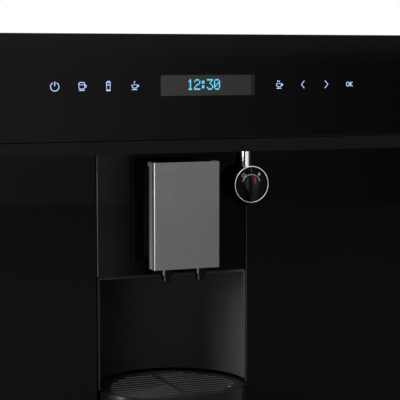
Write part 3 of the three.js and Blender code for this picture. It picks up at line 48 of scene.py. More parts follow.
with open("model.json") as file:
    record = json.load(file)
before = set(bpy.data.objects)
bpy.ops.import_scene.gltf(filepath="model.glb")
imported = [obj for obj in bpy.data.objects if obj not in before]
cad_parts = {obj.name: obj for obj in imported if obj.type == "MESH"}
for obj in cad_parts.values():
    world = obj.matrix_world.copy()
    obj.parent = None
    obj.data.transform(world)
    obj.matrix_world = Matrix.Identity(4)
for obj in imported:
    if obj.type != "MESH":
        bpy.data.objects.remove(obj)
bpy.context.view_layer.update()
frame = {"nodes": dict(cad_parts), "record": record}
MM = 0.001
UP, INWARD = (0, 0, 1), (0, 1, 0)


def measured(node):
    """Lowest corner, highest corner, middle and half size of a node's box."""
    low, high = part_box(node)
    return low, high, (low + high) / 2, (high - low) / 2


# ---------------------------------------------------------------- settings


def length(name, description, default):
    """A size in metres that a user can change."""
    return FloatProperty(
        name=name, description=description, default=default, min=0.0, precision=5, unit="LENGTH"
    )


def colour(name, description, default):
    """A colour that a user can change."""
    return FloatVectorProperty(
        name=name, description=description, default=(*default, 1.0), size=4,
        min=0.0, max=1.0, subtype="COLOR",
    )


def share(name, description, default):
    """A number from 0 to 1 that a user can change."""
    return FloatProperty(
        name=name, description=description, default=default, min=0.0, max=1.0, subtype="FACTOR"
    )


def watts(name, description, default):
    """A lamp's power that a user can change."""
    return FloatProperty(
        name=name, description=f"{description}, in watts", default=default, min=0.0
    )


class FinishSettings(bpy.types.PropertyGroup):
    """Colours and gloss of the machine's finishes."""

    glass: colour("Glass", "Body of the black glass", (0.0016, 0.0016, 0.0017))
    glass_gloss: share("Glass reflection", "How strongly the black glass mirrors the room", 0.13)
    glass_edge: colour("Glass edge", "Ground edge of the glass", (0.075, 0.075, 0.076))
    trim: colour("Trim", "Dark anodised rail", (0.0075, 0.0075, 0.0078))
    steel: colour("Steel", "Brushed steel", (0.148, 0.148, 0.148))
    chrome: colour("Chrome", "Polished chrome", (0.92, 0.92, 0.93))
    plastic: colour("Plastic", "Black moulded plastic", (0.006, 0.006, 0.0063))
    niche: colour("Niche", "Dark satin lacquer of the cup niche", (0.011, 0.011, 0.0112))
    zinc: colour("Zinc", "Zinc-coated sheet", (0.4, 0.41, 0.42))
    symbols: colour("Touch symbols", "Light of the touch symbols", (0.42, 0.6, 1.0))
    digits: colour("Digits", "Light of the clock", (0.13, 0.72, 1.0))
    screen: colour("Screen", "Unlit screen", (0.03, 0.03, 0.0302))
    pointer: colour("Pointer", "Painted pointer on the dial's grip", (0.75, 0.012, 0.016))
    print_white: colour("Dial print", "Printed scale of the dial", (0.72, 0.72, 0.72))


class FasciaSettings(bpy.types.PropertyGroup):
    """Sizes of what shows on the control glass."""

    screen_width: length("Screen width", "Lit window in the control glass", 0.1136)
    screen_height: length("Screen height", "Lit window in the control glass", 0.0229)
    symbol_first: length("First symbol", "From the middle to the first touch symbol", 0.0873)
    symbol_pitch: length("Symbol pitch", "Between neighbouring touch symbols", 0.0303)
    symbol_stroke: length("Stroke", "Line width of the touch symbols", 0.0009)
    row_height: length("Row height", "Symbols above the control glass's lower edge", 0.0595)
    proud: length("Print thickness", "How far a print stands on its surface", 0.00006)


class DispenserSettings(bpy.types.PropertyGroup):
    """Sizes of the dispenser's steel cover."""

    roll: length("Rolled edge", "Radius of the cover's upright front edges", 0.0019)
    groove_depth: length("Groove depth", "Shadow line behind the rolled edge", 0.00035)
    groove_width: length("Groove width", "Shadow line behind the rolled edge", 0.0048)
    wall: length("Wall", "Thickness of the cover", 0.0015)
    depth: length("Depth", "Depth of the cover's folded sides", 0.0168)


class DialSettings(bpy.types.PropertyGroup):
    """Sizes of the steam dial."""

    arc_radius: length("Arc radius", "Printed arc", 0.0111)
    arc_stroke: length("Arc stroke", "Line width of the printed arc", 0.0013)
    lip: length("Ring's lip", "Width of the chrome ring's rounded lip", 0.00115)
    crown: length("Grip's crown", "Radius of the grip's round end", 0.0098)
    steps: IntProperty(
        name="Facets", description="Facets round each turned piece", default=72, min=24, max=128
    )


class StageSettings(bpy.types.PropertyGroup):
    """Floor and lamps."""

    floor_colour: colour("Floor", "Pale floor", (0.8, 0.8, 0.8))
    near_floor: length("Near floor", "Radius of the floor that the machine mirrors", 2.6)
    far_floor: length("Far floor", "Outer radius of the floor", 40.0)
    side_power: watts("Side lamp", "Soft lamp to the left", 55.0)
    glint_power: watts("Glint lamp", "Small low lamp to the left, seen only in reflections", 6.0)
    key_power: watts("Key lamp", "Soft lamp above the camera", 7.0)
    back_power: watts("Back lamp", "Soft lamp behind the machine", 9.8)
    room_light: share("Room light", "Light that comes from all round", 0.26)


def settings(part):
    """The settings of that part of the machine."""
    return getattr(bpy.context.scene, f"coffee_{part}")


# ---------------------------------------------------------------- materials

# Finished materials by name; a material's own name can differ by a number from its slot's
MATERIALS = {}
# Plain words for the shader's sockets
SOCKETS = {
    "colour": "Base Color",
    "metallic": "Metallic",
    "roughness": "Roughness",
    "index": "IOR",
    "alpha": "Alpha",
    "normal": "Normal",
    "level": "Specular IOR Level",
    "depth": "Subsurface Weight",
    "glow": "Emission Color",
    "strength": "Emission Strength",
    "streak": "Anisotropic",
    "streak_turn": "Anisotropic Rotation",
}


class Nodes:
    """A node tree, and the nodes that are added to it."""

    def __init__(self, tree):
        self.tree = tree

    def add(self, kind, inputs=(), **properties):
        """Adds a node; an input is a number, a colour or another node's output."""
        node = self.tree.nodes.new(kind)
        for key, value in properties.items():
            setattr(node, key, value)
        for socket, value in dict(inputs).items():
            if isinstance(value, bpy.types.NodeSocket):
                self.tree.links.new(value, node.inputs[socket])
            else:
                node.inputs[socket].default_value = value
        return node

    def math(self, operation, *values):
        """A number worked out from others."""
        return self.add("ShaderNodeMath", dict(enumerate(values)), operation=operation).outputs[0]

    def spread(self, value, low, high, start=0.25, end=0.75):
        """Brings a value from start..end to low..high."""
        return self.add(
            "ShaderNodeMapRange",
            {"Value": value, "From Min": start, "From Max": end, "To Min": low, "To Max": high},
        ).outputs["Result"]

    def parts(self, vector):
        """X, Y and Z of a vector."""
        return self.add("ShaderNodeSeparateXYZ", {0: vector}).outputs


class Recipe(Nodes):
    """One material: its shader, and the nodes that are added in front of it."""

    def __init__(self, name, **sockets):
        self.name = name
        self.material = bpy.data.materials.new(name)
        self.material.use_nodes = True
        super().__init__(self.material.node_tree)
        self.shader = self.tree.nodes["Principled BSDF"]
        self.place = self.add("ShaderNodeTexCoord").outputs["Object"]
        for key, value in sockets.items():
            self.shader.inputs[SOCKETS[key]].default_value = value

    def noise(self, scale, stretch=(1, 1, 1), detail=3.0, turn=(0, 0, 0)):
        """Noise in the piece's own space; stretch multiplies the scale along each axis."""
        mapping = self.add(
            "ShaderNodeMapping", {"Vector": self.place, "Scale": stretch, "Rotation": turn}
        )
        return self.add(
            "ShaderNodeTexNoise", {"Vector": mapping.outputs[0], "Scale": scale, "Detail": detail}
        ).outputs["Fac"]

    def cells(self, scale, output):
        """Cells round scattered points: their random colour, or the distance to the point."""
        inputs = {"Vector": self.place, "Scale": scale}
        return self.add("ShaderNodeTexVoronoi", inputs).outputs[output]

    def grid(self, scale, face, line, gap):
        """A pattern of bricks: their faces, and the lines between them."""
        inputs = {"Vector": self.place, "Scale": scale, "Mortar Size": gap}
        inputs |= {"Color1": face, "Color2": face, "Mortar": line}
        return self.add("ShaderNodeTexBrick", inputs).outputs["Color"]

    def bearing(self, node):
        """Angle round an upright line through a node's middle, from the user to the right."""
        middle = measured(node)[2]
        x, y, _ = self.parts(self.place)
        aside, ahead = self.math("SUBTRACT", x, middle.x), self.math("SUBTRACT", middle.y, y)
        return self.math("ARCTAN2", aside, ahead)

    def mix(self, factor, first, second):
        """The first colour at 0, the second at 1."""
        inputs = {0: factor, 6: first, 7: second}
        return self.add("ShaderNodeMix", inputs, data_type="RGBA").outputs[2]

    def tones(self, pattern, tone, first, second, start=0.25, end=0.75):
        """A tone times the first number where the pattern is low, and the second where high."""
        factor = self.spread(pattern, 0.0, 1.0, start, end)
        return self.mix(factor, shaded(tone, first), shaded(tone, second))

    def laid(self, base, pattern, strength, tone, start=0.25, end=0.75):
        """Lays a tone over the base, up to that strength, where the pattern is high."""
        return self.mix(self.spread(pattern, 0.0, strength, start, end), base, tone)

    def bump(self, height, distance, strength=1.0):
        """Relief of that height, in metres."""
        inputs = {"Height": height, "Distance": distance, "Strength": strength}
        return self.add("ShaderNodeBump", inputs).outputs[0]

    def surface(self, base, pattern, rough, depth, strength):
        """Feeds the colour, and a roughness and a relief that follow the pattern."""
        relief = self.bump(pattern, depth, strength)
        self.feed(colour=base, roughness=self.spread(pattern, *rough), normal=relief)

    def feed(self, **sockets):
        """Links outputs to the shader and keeps the finished material under its name."""
        for key, output in sockets.items():
            self.tree.links.new(output, self.shader.inputs[SOCKETS[key]])
        MATERIALS[self.name] = self.material


def shaded(tone, factor):
    """The same colour, lighter or darker."""
    return (*[min(1.0, channel * factor) for channel in tone[:3]], 1.0)


# Colours of the pieces that the photograph doesn't show
PLATED = (0.5, 0.51, 0.52, 1.0)
CAST_METAL = (0.42, 0.43, 0.44, 1.0)
MILKY = (0.66, 0.66, 0.62, 1.0)
SOLDER_MASK = (0.008, 0.075, 0.03, 1.0)
COPPER_TRACK = (0.02, 0.15, 0.055, 1.0)
TINNED = (0.5, 0.5, 0.48, 1.0)
CLEAR = (0.62, 0.7, 0.74, 1.0)
SMOKED = (0.035, 0.031, 0.028, 1.0)
GREY = (0.085, 0.09, 0.095, 1.0)
SCREEN_BACK = (0.05, 0.052, 0.055, 1.0)

# Along X: the right end of the niche that is drawn brighter as painted light, and the dark strip
# of the screen
PAINTED_LIGHT_END = 45 * MM
DARK_STRIP = 4.6 * MM


def black_glass(name, near, far, fade=(-0.3, 0.3)):
    """Black-backed glass with ground edges and the faint haze of a wiped surface.

    Its reflection goes from near to far, shares of the full one, between two places along X, as a
    painted reflection. Of the ground edges those that face left get a painted highlight and those
    that face right get the glass's black as painted shade.
    """
    look = settings("finish")
    made = Recipe(name, index=1.5)
    along = made.parts(made.place)[0]
    gloss = made.spread(along, look.glass_gloss * near, look.glass_gloss * far, *fade)
    way = made.parts(made.add("ShaderNodeNewGeometry").outputs["True Normal"])
    # A ground edge faces about halfway between the front and a side
    edge = made.math("COMPARE", made.math("ABSOLUTE", way[1]), 0.7, 0.22)
    left = made.math("LESS_THAN", way[0], -0.3)
    right = made.math("GREATER_THAN", way[0], 0.3)
    haze = made.noise(9.0, (1, 1, 0.35))
    specks = made.noise(900.0, detail=1.0)
    body = made.tones(haze, look.glass, 1.0, 1.35)
    body = made.laid(body, specks, 0.5, shaded(look.glass, 5.0), 0.72, 0.8)
    # Painted highlight on the ground edges that face left, painted shade (the glass's own black)
    # on those that face right
    ground = made.mix(left, shaded(look.glass_edge, 0.25), look.glass_edge)
    ground = made.mix(right, ground, look.glass)
    rough = made.math("ADD", made.spread(haze, 0.025, 0.06), made.math("MULTIPLY", edge, 0.3))
    made.feed(colour=made.mix(edge, body, ground), roughness=rough, level=gloss)


def dark_trim():
    """Dark anodised aluminium with a fine drawn grain along its length."""
    tone = settings("finish").trim
    made = Recipe("dark_trim", metallic=0.6, level=0.12)
    grain = made.noise(160.0, (0.05, 6, 6))
    base = made.tones(grain, tone, 0.8, 1.25)
    base = made.laid(base, made.noise(7.0), 0.3, shaded(tone, 1.4))
    made.surface(base, grain, (0.34, 0.46), 0.00004, 0.5)


def brushed_steel(name="brushed_steel", along=0, tint=1.0, blur=0.0):
    """Brushed steel; the grain runs along that axis, and low down a painted highlight makes the
    tone lighter.
    """
    tone = shaded(settings("finish").steel, tint)
    made = Recipe(name, metallic=1.0, streak=0.6, streak_turn=0.25)
    fine, coarse = [34.0] * 3, [5.0] * 3
    fine[along], coarse[along] = 2.4, 1.6
    grain = made.noise(80.0, fine, detail=4.0)
    cloud = made.noise(11.0)
    base = made.tones(grain, tone, 0.76, 1.22, 0.3, 0.7)
    base = made.laid(base, made.noise(28.0, coarse), 0.4, shaded(tone, 1.16))
    # Painted highlight: a lighter copy of the grain for the lower part of the steel
    lower = made.tones(grain, tone, 1.35, 2.0, 0.3, 0.7)
    base = made.mix(made.spread(made.parts(made.place)[2], 1.0, 0.0, 0.2, 0.3), base, lower)
    base = made.laid(base, cloud, 0.35, shaded(tone, 0.86))
    rough = made.math(
        "ADD", made.spread(grain, 0.31 + blur, 0.4 + blur), made.spread(cloud, -0.02, 0.03)
    )
    made.feed(colour=base, roughness=rough, normal=made.bump(grain, 0.00003, 0.35))


def polished_chrome():
    """Chrome with hairline wiping marks."""
    made = Recipe("polished_chrome", metallic=1.0)
    marks = made.noise(420.0, (1, 1, 0.2), detail=2.0)
    base = made.tones(made.noise(60.0), settings("finish").chrome, 1.0, 0.93)
    made.surface(base, marks, (0.05, 0.09), 0.00001, 0.2)


def tube_chrome():
    """Chrome of the upright tube, with painted reflections: the dark streaks that such a tube
    mirrors are painted into its colour.
    """
    made = Recipe("tube_chrome", metallic=1.0)
    tone = settings("finish").chrome
    angle = made.bearing("steam_tube")
    # Painted reflection: a black streak, and a darker right side, painted into the chrome's colour
    streak, half_width = math.radians(-40), math.radians(9)
    dark = made.math("COMPARE", angle, streak, half_width)
    right = made.spread(angle, 0.0, 1.0, math.radians(2), math.radians(11))
    base = made.mix(dark, made.mix(right, tone, shaded(tone, 0.04)), shaded(tone, 0.0))
    marks = made.noise(420.0, (1, 1, 0.2), detail=2.0)
    made.surface(base, marks, (0.16, 0.2), 0.00001, 0.1)


def moulded(name, tone, rough=(0.34, 0.46), grain=900.0, depth=0.00004, level=0.2):
    """Moulded plastic with a spark-eroded texture."""
    made = Recipe(name, level=level)
    pores = made.noise(grain, detail=2.0)
    base = made.tones(made.noise(14.0), tone, 0.88, 1.15)
    made.surface(base, pores, rough, depth, 0.5)


def outlet_black(side):
    """Glossy black of an outlet; only a strip facing forward and left mirrors strongly, a painted
    highlight, and all round it is duller.
    """
    made = Recipe(f"outlet_{side}_black")
    streak, half_width = math.radians(-47), math.radians(11)
    # Painted highlight: the strip where the reflection is strong
    painted_glint_strip = made.math("COMPARE", made.bearing(f"coffee_outlet_{side}"), streak, half_width)
    tone = shaded(settings("finish").plastic, 0.1)
    marks = made.noise(260.0)
    made.feed(
        colour=made.mix(marks, tone, shaded(tone, 1.3)),
        roughness=made.spread(marks, 0.06, 0.09),
        level=made.spread(painted_glint_strip, 0.08, 1.0),
    )


def niche_lacquer():
    """Dark satin lacquer with a fine metallic grain, and painted light that makes it brighter
    towards its right end.
    """
    tone = settings("finish").niche
    made = Recipe("niche_satin", metallic=0.3, level=0.22)
    pores = made.noise(1100.0, detail=2.0)
    flakes = made.noise(2100.0, detail=1.0)
    base = made.tones(flakes, tone, 0.7, 1.5, 0.35, 0.65)
    base = made.laid(base, made.noise(12.0), 0.3, shaded(tone, 0.85))
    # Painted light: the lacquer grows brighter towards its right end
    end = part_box("niche_shell")[1].x
    aside = made.parts(made.place)[0]
    painted_light_ramp = made.math("POWER", made.spread(aside, 0.0, 1.0, end - PAINTED_LIGHT_END, end), 3.0)
    base = made.mix(painted_light_ramp, base, made.tones(flakes, tone, 4.5, 9.0, 0.3, 0.7))
    made.surface(base, pores, (0.42, 0.56), 0.00007, 0.7)


def zinc_sheet():
    """Zinc-coated sheet: spangle, rolling marks and a few scuffs."""
    tone = settings("finish").zinc
    made = Recipe("zinc_sheet", metallic=0.85)
    tint = made.parts(made.cells(150.0, "Color"))[0]
    rolling = made.noise(90.0, (4, 0.2, 4))
    scuffs = made.noise(70.0, (0.25, 3, 3), turn=(0, 0, 0.6))
    base = made.mix(made.math("MULTIPLY", tint, 0.8), shaded(tone, 0.86), shaded(tone, 1.12))
    base = made.laid(base, scuffs, 0.5, shaded(tone, 1.35), 0.62, 0.78)
    rough = made.math(
        "ADD", made.spread(tint, 0.36, 0.5, 0.0, 1.0), made.spread(rolling, -0.03, 0.03)
    )
    made.feed(colour=base, roughness=rough, normal=made.bump(rolling, 0.00002, 0.4))


def bright_zinc():
    """Bright zinc-plated steel with a drawn grain along Y and a thin film of grease."""
    made = Recipe("rail_steel", metallic=1.0)
    grain = made.noise(150.0, (4, 0.12, 4))
    grease = made.noise(30.0, (1, 0.3, 1))
    rough = made.math("ADD", made.spread(grain, 0.24, 0.34), made.spread(grease, -0.06, 0.05))
    base = made.tones(grain, PLATED, 0.85, 1.1)
    made.feed(colour=base, roughness=rough, normal=made.bump(grain, 0.00002, 0.4))


def cast_aluminium():
    """Sand-textured cast aluminium."""
    made = Recipe("cast_aluminium", metallic=0.9)
    sand = made.noise(620.0, detail=4.0)
    base = made.tones(made.noise(25.0), CAST_METAL, 0.8, 1.1)
    made.surface(base, sand, (0.42, 0.6), 0.00016, 0.6)


def see_through(name, tone, alpha, rough):
    """Clear or smoked plastic with moulding flow marks."""
    made = Recipe(name, alpha=alpha, level=0.5)
    flow = made.noise(16.0, (1, 1, 0.3))
    made.feed(
        colour=made.tones(flow, tone, 0.92, 1.08), roughness=made.spread(flow, rough, rough + 0.05)
    )


def silicone():
    """Milky silicone hose."""
    made = Recipe("white_hose", level=0.35, depth=0.15)
    outside = made.noise(700.0)
    base = made.tones(made.noise(45.0), MILKY, 0.9, 1.05)
    made.surface(base, outside, (0.34, 0.46), 0.00003, 0.4)


def circuit_board():
    """Solder mask over copper tracks, with tinned pads."""
    made = Recipe("board_green", level=0.45)
    tracks = made.grid(90.0, SOLDER_MASK, COPPER_TRACK, 0.07)
    pads = made.spread(made.cells(240.0, "Distance"), 1.0, 0.0, 0.1, 0.14)
    base = made.mix(pads, tracks, TINNED)
    made.feed(
        colour=base,
        roughness=made.spread(made.noise(300.0), 0.3, 0.42),
        normal=made.bump(tracks, 0.00003, 0.4),
    )


def lit(name, tone, strength):
    """A lit symbol: light of one colour with the faint unevenness of the lamp behind it."""
    made = Recipe(name, strength=strength, colour=shaded(tone, 0.06), roughness=0.3)
    made.feed(glow=made.tones(made.noise(700.0), tone, 0.9, 1.0))


def painted(name, tone):
    """A printed or painted mark."""
    made = Recipe(name, level=0.3)
    cover = made.noise(1500.0)
    base = made.tones(cover, tone, 0.88, 1.0)
    made.feed(colour=base, roughness=made.spread(cover, 0.35, 0.45))


def screen_face():
    """The unlit screen behind its window, with a darker strip at its right-hand end; its faint
    glow is painted light.
    """
    tone = settings("finish").screen
    # The unlit screen glows faintly with its own colour: painted light
    made = Recipe("screen_face", level=0.13, roughness=0.12, strength=0.42)
    along = made.parts(made.place)[0]
    end = settings("fascia").screen_width / 2
    base = made.tones(along, tone, 1.15, 0.85, -end, end)
    dots = made.grid(500.0, (0, 0, 0, 1), (1, 1, 1, 1), 0.12)
    base = made.laid(base, dots, 0.25, shaded(tone, 0.6), 0.0, 1.0)
    strip = made.math("GREATER_THAN", along, end - DARK_STRIP)
    base = made.mix(strip, base, shaded(tone, 0.36))
    made.feed(colour=base, glow=base)


def make_materials():
    """Makes every finish: the record's slot names and a few of their own."""
    look = settings("finish")

    def black(name, factor, *texture, **gloss):
        """Black plastic, lighter or darker, with its own texture and gloss."""
        moulded(name, shaded(look.plastic, factor), *texture, **gloss)

    # Each pane gets its own reflection strengths, and the middle pane's fades right of the
    # dispenser: painted reflection
    black_glass("black_glass", 0.85, 0.5, (-0.15, 0.2))
    black_glass("left_glass", 0.75, 0.95)
    black_glass("middle_glass", 1.5, 0.32, (-0.112, -0.076))
    black_glass("right_glass", 0.68, 0.6)
    dark_trim()
    brushed_steel()
    # Steel for the cover's folded sides: drawn lighter as a painted highlight, and rougher as
    # their own finish
    brushed_steel("steel_fold", 2, 2.3, 0.3)
    polished_chrome()
    tube_chrome()
    moulded("black_plastic", look.plastic)
    # A much darker black: partly the parts' own black, partly painted shadow
    black("deep_black", 0.25, (0.5, 0.6), level=0.03)
    black("dial_black", 0.4, (0.3, 0.36), 500.0, 0.00001, 0.07)
    black("grip_black", 0.5, (0.3, 0.36), 500.0, 0.000004, 0.16)
    black("drip_front_black", 0.7, (0.16, 0.22), 300.0, 0.00001, 0.15)
    outlet_black("left")
    outlet_black("right")
    niche_lacquer()
    zinc_sheet()
    bright_zinc()
    cast_aluminium()
    see_through("clear_plastic", CLEAR, 0.42, 0.08)
    see_through("smoked_plastic", SMOKED, 0.86, 0.1)
    moulded("grey_plastic", GREY, (0.42, 0.55), 700.0, 0.00005)
    moulded("screen_grey", SCREEN_BACK, (0.25, 0.35))
    silicone()
    circuit_board()
    screen_face()
    lit("touch_light", look.symbols, 1.5)
    lit("clock_light", look.digits, 1.0)
    painted("dial_print", look.print_white)
    painted("dial_tick", shaded(look.print_white, 0.22))
    painted("pointer_red", look.pointer)


# ---------------------------------------------------------------- modelling


def fresh():
    """Deselects everything before a primitive is added."""
    bpy.ops.object.select_all(action="DESELECT")


def take(piece):
    """Selects just this piece and makes it the active one."""
    fresh()
    piece.select_set(True)
    bpy.context.view_layer.objects.active = piece


@contextlib.contextmanager
def editing(piece, choose="FACE"):
    """Edit mode on one piece, with all of it selected."""
    take(piece)
    bpy.ops.object.mode_set(mode="EDIT")
    bpy.ops.mesh.select_mode(type=choose)
    bpy.ops.mesh.select_all(action="SELECT")
    yield
    bpy.ops.object.mode_set(mode="OBJECT")


def pick(piece, test, kind="faces"):
    """In edit mode, selects just the faces, edges or vertices that pass the test."""
    bpy.ops.mesh.select_all(action="DESELECT")
    mesh = bmesh.from_edit_mesh(piece.data)
    for element in getattr(mesh, kind):
        if test(element):
            element.select_set(True)
    mesh.select_flush_mode()
    bmesh.update_edit_mesh(piece.data)


def named(name):
    """Names the new active object and brings its place into its mesh."""
    piece = bpy.context.active_object
    bpy.ops.object.transform_apply(location=True, rotation=True, scale=True)
    piece.name = name
    piece.data.name = name
    return piece


def cuboid(name, low, high):
    """A cube primitive added between two corners."""
    fresh()
    middle = [(a + b) / 2 for a, b in zip(low, high)]
    size = [b - a for a, b in zip(low, high)]
    bpy.ops.mesh.primitive_cube_add(size=1.0, location=middle, scale=size)
    return named(name)


def drawn(name, points, close=True):
    """A line through the points, extruded vertex by vertex from one corner of a plane."""
    fresh()
    points = [Vector(point) for point in points]
    bpy.ops.mesh.primitive_plane_add(size=MM, location=points[0])
    piece = named(name)
    with editing(piece, "VERT"):
        bpy.ops.mesh.merge(type="CENTER")
        for start, end in zip(points, points[1:]):
            bpy.ops.mesh.extrude_vertices_move(TRANSFORM_OT_translate={"value": end - start})
        if close:
            bpy.ops.mesh.select_all(action="SELECT")
            bpy.ops.mesh.edge_face_add()
    return piece


def raised(piece, step):
    """Extrudes all of a drawn outline by one step and turns its faces outwards."""
    with editing(piece):
        bpy.ops.mesh.extrude_region_move(TRANSFORM_OT_translate={"value": step})
        tidy_faces()
    return piece


def tidy_faces():
    """In edit mode: merges doubles and turns every face outwards."""
    bpy.ops.mesh.select_all(action="SELECT")
    bpy.ops.mesh.remove_doubles(threshold=1e-6)
    bpy.ops.mesh.normals_make_consistent(inside=False)


def turned(name, profile, centre, axis, steps=None):
    """A profile of (radius, height) points spun round an axis through the centre."""
    centre, axis = Vector(centre), Vector(axis)
    steps = steps or settings("dial").steps
    points = [centre + Vector((radius, 0, 0)) + axis * height for radius, height in profile]
    piece = drawn(name, points, close=False)
    with editing(piece, "VERT"):
        bpy.ops.mesh.spin(steps=steps, angle=math.tau, center=centre, axis=axis)
        tidy_faces()
    return piece


def applied(piece, kind, **values):
    """Adds a modifier with those values and applies it."""
    take(piece)
    bpy.ops.object.modifier_add(type=kind)
    modifier = piece.modifiers[-1]
    for key, value in values.items():
        setattr(modifier, key, value)
    bpy.ops.object.modifier_apply(modifier=modifier.name)
    return piece


def shared(piece, other):
    """Keeps what lies in both pieces, and takes the other away."""
    applied(piece, "BOOLEAN", operation="INTERSECT", object=other)
    take(other)
    bpy.ops.object.delete()


def softened(piece, width, segments=2, angle=50):
    """Rounds every edge sharper than that angle, in degrees."""
    limit = {"limit_method": "ANGLE", "angle_limit": math.radians(angle)}
    return applied(piece, "BEVEL", width=width, segments=segments, **limit)


def smooth(piece, angle=40):
    """Smooth shading below that angle, in degrees."""
    take(piece)
    bpy.ops.object.shade_smooth_by_angle(angle=math.radians(angle))
    return piece


def joined(name, pieces):
    """Several meshes as one piece."""
    fresh()
    for piece in pieces:
        piece.select_set(True)
    bpy.context.view_layer.objects.active = pieces[0]
    if len(pieces) > 1:
        bpy.ops.object.join()
    piece = bpy.context.active_object
    piece.name = name
    piece.data.name = name
    return piece


def finished(piece, material, body, replaces=()):
    """Gives a piece its finish, its body and the node it stands for."""
    piece.data.materials.clear()
    piece.data.materials.append(MATERIALS[material])
    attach(piece, body)
    if replaces:
        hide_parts(*replaces)


def stroke(points, width, centre, proud, closed=False):
    """A flat line of that width on a surface that faces the user: a round tube, pressed flat."""
    fresh()
    bpy.ops.curve.primitive_bezier_curve_add(location=(0, 0, 0))
    curve = bpy.context.active_object
    data = curve.data
    data.splines.clear()
    line = data.splines.new("POLY")
    line.points.add(len(points) - 1)
    for point, (u, v) in zip(line.points, points):
        point.co = (centre[0] + u * MM, centre[1], centre[2] + v * MM, 1.0)
    line.use_cyclic_u = closed
    data.dimensions = "3D"
    data.bevel_depth = width / 2
    data.bevel_resolution = 1
    data.use_fill_caps = True
    bpy.ops.object.convert(target="MESH")
    piece = bpy.context.active_object
    with editing(piece):
        bpy.ops.transform.resize(value=(1, 2 * proud / width, 1), center_override=centre)
        tidy_faces()
    return piece


def arc(u, v, radius, start, end, steps=14, squeeze=1.0):
    """Points of an arc between two angles in degrees; squeeze makes it wider or narrower."""
    angles = [math.radians(start + (end - start) * i / steps) for i in range(steps + 1)]
    return [(u + radius * squeeze * math.cos(a), v + radius * math.sin(a)) for a in angles]


def mirrored(points):
    """The points' mirror images on the other side of the middle, from last to first."""
    return [(-u, v) for u, v in reversed(points)]


# ---------------------------------------------------------------- fascia


def cup(steam):
    """A cup on its saucer with lines of steam, as a symbol: its lines, and whether they close."""
    bowl = [(-3.3, 1.1), (-2.9, -0.9), (-1.7, -2.4), (1.7, -2.4), (2.9, -0.9), (3.3, 1.1)]
    handle = [(3.2, 0.6), (4.7, 0.7), (4.6, -0.8), (2.9, -1.0)]
    saucer = [(-3.0, -4.1), (3.0, -4.1)]
    return [(bowl, True), *[(line, False) for line in (handle, saucer, *steam)]]


# Points of the symbols in mm, from each symbol's middle
FROTH = [(-3.4, 1.4), (-3.2, 3.2), (-1.6, 4.4), (0.0, 3.7), (1.6, 4.4), (3.2, 3.2), (3.4, 1.4)]
MUG = [
    ([(-3.4, 1.4), (-3.1, -2.2), (-2.0, -3.0), (2.0, -3.0), (3.1, -2.2), (3.4, 1.4)], True),
    (FROTH, False),
    ([(3.3, 1.0), (5.0, 0.9), (5.2, -0.9), (3.2, -1.5)], False),
    ([(-3.2, -4.5), (3.2, -4.5)], False),
]
TALL_GLASS = [
    ([(-2.3, 3.6), (-1.9, -4.3), (1.9, -4.3), (2.3, 3.6)], True),
    ([(-2.2, 3.7), (-1.0, 5.1), (1.0, 5.1), (2.2, 3.7)], False),
    ([(-2.1, 1.1), (2.1, 1.1)], False),
    ([(-2.4, -5.0), (2.4, -5.0)], False),
]
POWER = [(arc(0, -0.3, 4.7, 118, 422, 24), False), ([(0, 5.2), (0, 0.4)], False)]
BACK = [([(1.9, 4.3), (-1.9, 0.0), (1.9, -4.3)], False)]
ONWARD = [([(-1.9, 4.3), (1.9, 0.0), (-1.9, -4.3)], False)]
CONFIRM = [
    (arc(-2.4, 0, 2.3, 0, 345, 15, 0.82), True),
    ([(0.9, 2.6), (0.9, -2.6)], False),
    ([(3.7, 2.6), (1.1, 0.1), (3.9, -2.6)], False),
]
STEAM = [(-0.2, 2.6), (-0.7, 3.5), (0.3, 4.3), (-0.1, 5.2)]

# Each key's side of the screen, its place counted from the screen, and its symbol
TOUCH_KEYS = {
    "power_key": (-1, 3, POWER),
    "mug_key": (-1, 2, MUG),
    "tall_glass_key": (-1, 1, TALL_GLASS),
    "espresso_key": (-1, 0, cup([STEAM])),
    "cup_key": (1, 0, cup([[(-1.6, 2.8), (-1.6, 5.0)], [(0.6, 2.8), (0.6, 4.4)]])),
    "back_key": (1, 1, BACK),
    "onward_key": (1, 2, ONWARD),
    "confirm_key": (1, 3, CONFIRM),
}

# Rows of dots, from the top down, of a plain five by seven dot matrix
DIGITS = {
    "1": ("00100", "01100", "00100", "00100", "00100", "00100", "01110"),
    "2": ("01110", "10001", "00001", "00110", "01000", "10000", "11111"),
    "3": ("11111", "00010", "00100", "00010", "00001", "10001", "01110"),
    "0": ("01110", "10001", "10011", "10101", "11001", "10001", "01110"),
    ":": ("00000", "01100", "01100", "00000", "01100", "01100", "00000"),
}
CLOCK_TIME = "12:30"
# From the screen's middle to the left edge of each figure
FIGURE_STARTS = [start * MM for start in (-25.3, -17.1, -9.2, -1.7, 6.8)]
CLOCK_TOP = 6.9 * MM
DOT_WIDTH, DOT_HEIGHT, DOT_GAP = 1.5 * MM, 1.72 * MM, 0.04 * MM
SCREEN_CORNER = 0.8 * MM


def control_plane():
    """Front of the control glass, and the height of its row of symbols."""
    low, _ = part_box("control_glass")
    return low.y, low.z + settings("fascia").row_height


class MACHINE_OT_touch_symbols(bpy.types.Operator):
    """Lit symbols of the touch keys on the control glass"""

    bl_idname = "machine.touch_symbols"
    bl_label = "Touch symbols"

    def execute(self, context):
        sizes = settings("fascia")
        plane, height = control_plane()
        for name, (side, place, lines) in TOUCH_KEYS.items():
            centre = (side * (sizes.symbol_first + place * sizes.symbol_pitch), plane, height)
            strokes = [
                stroke(points, sizes.symbol_stroke, centre, sizes.proud, closed)
                for points, closed in lines
            ]
            finished(joined(name, strokes), "touch_light", "machine")
        return {"FINISHED"}


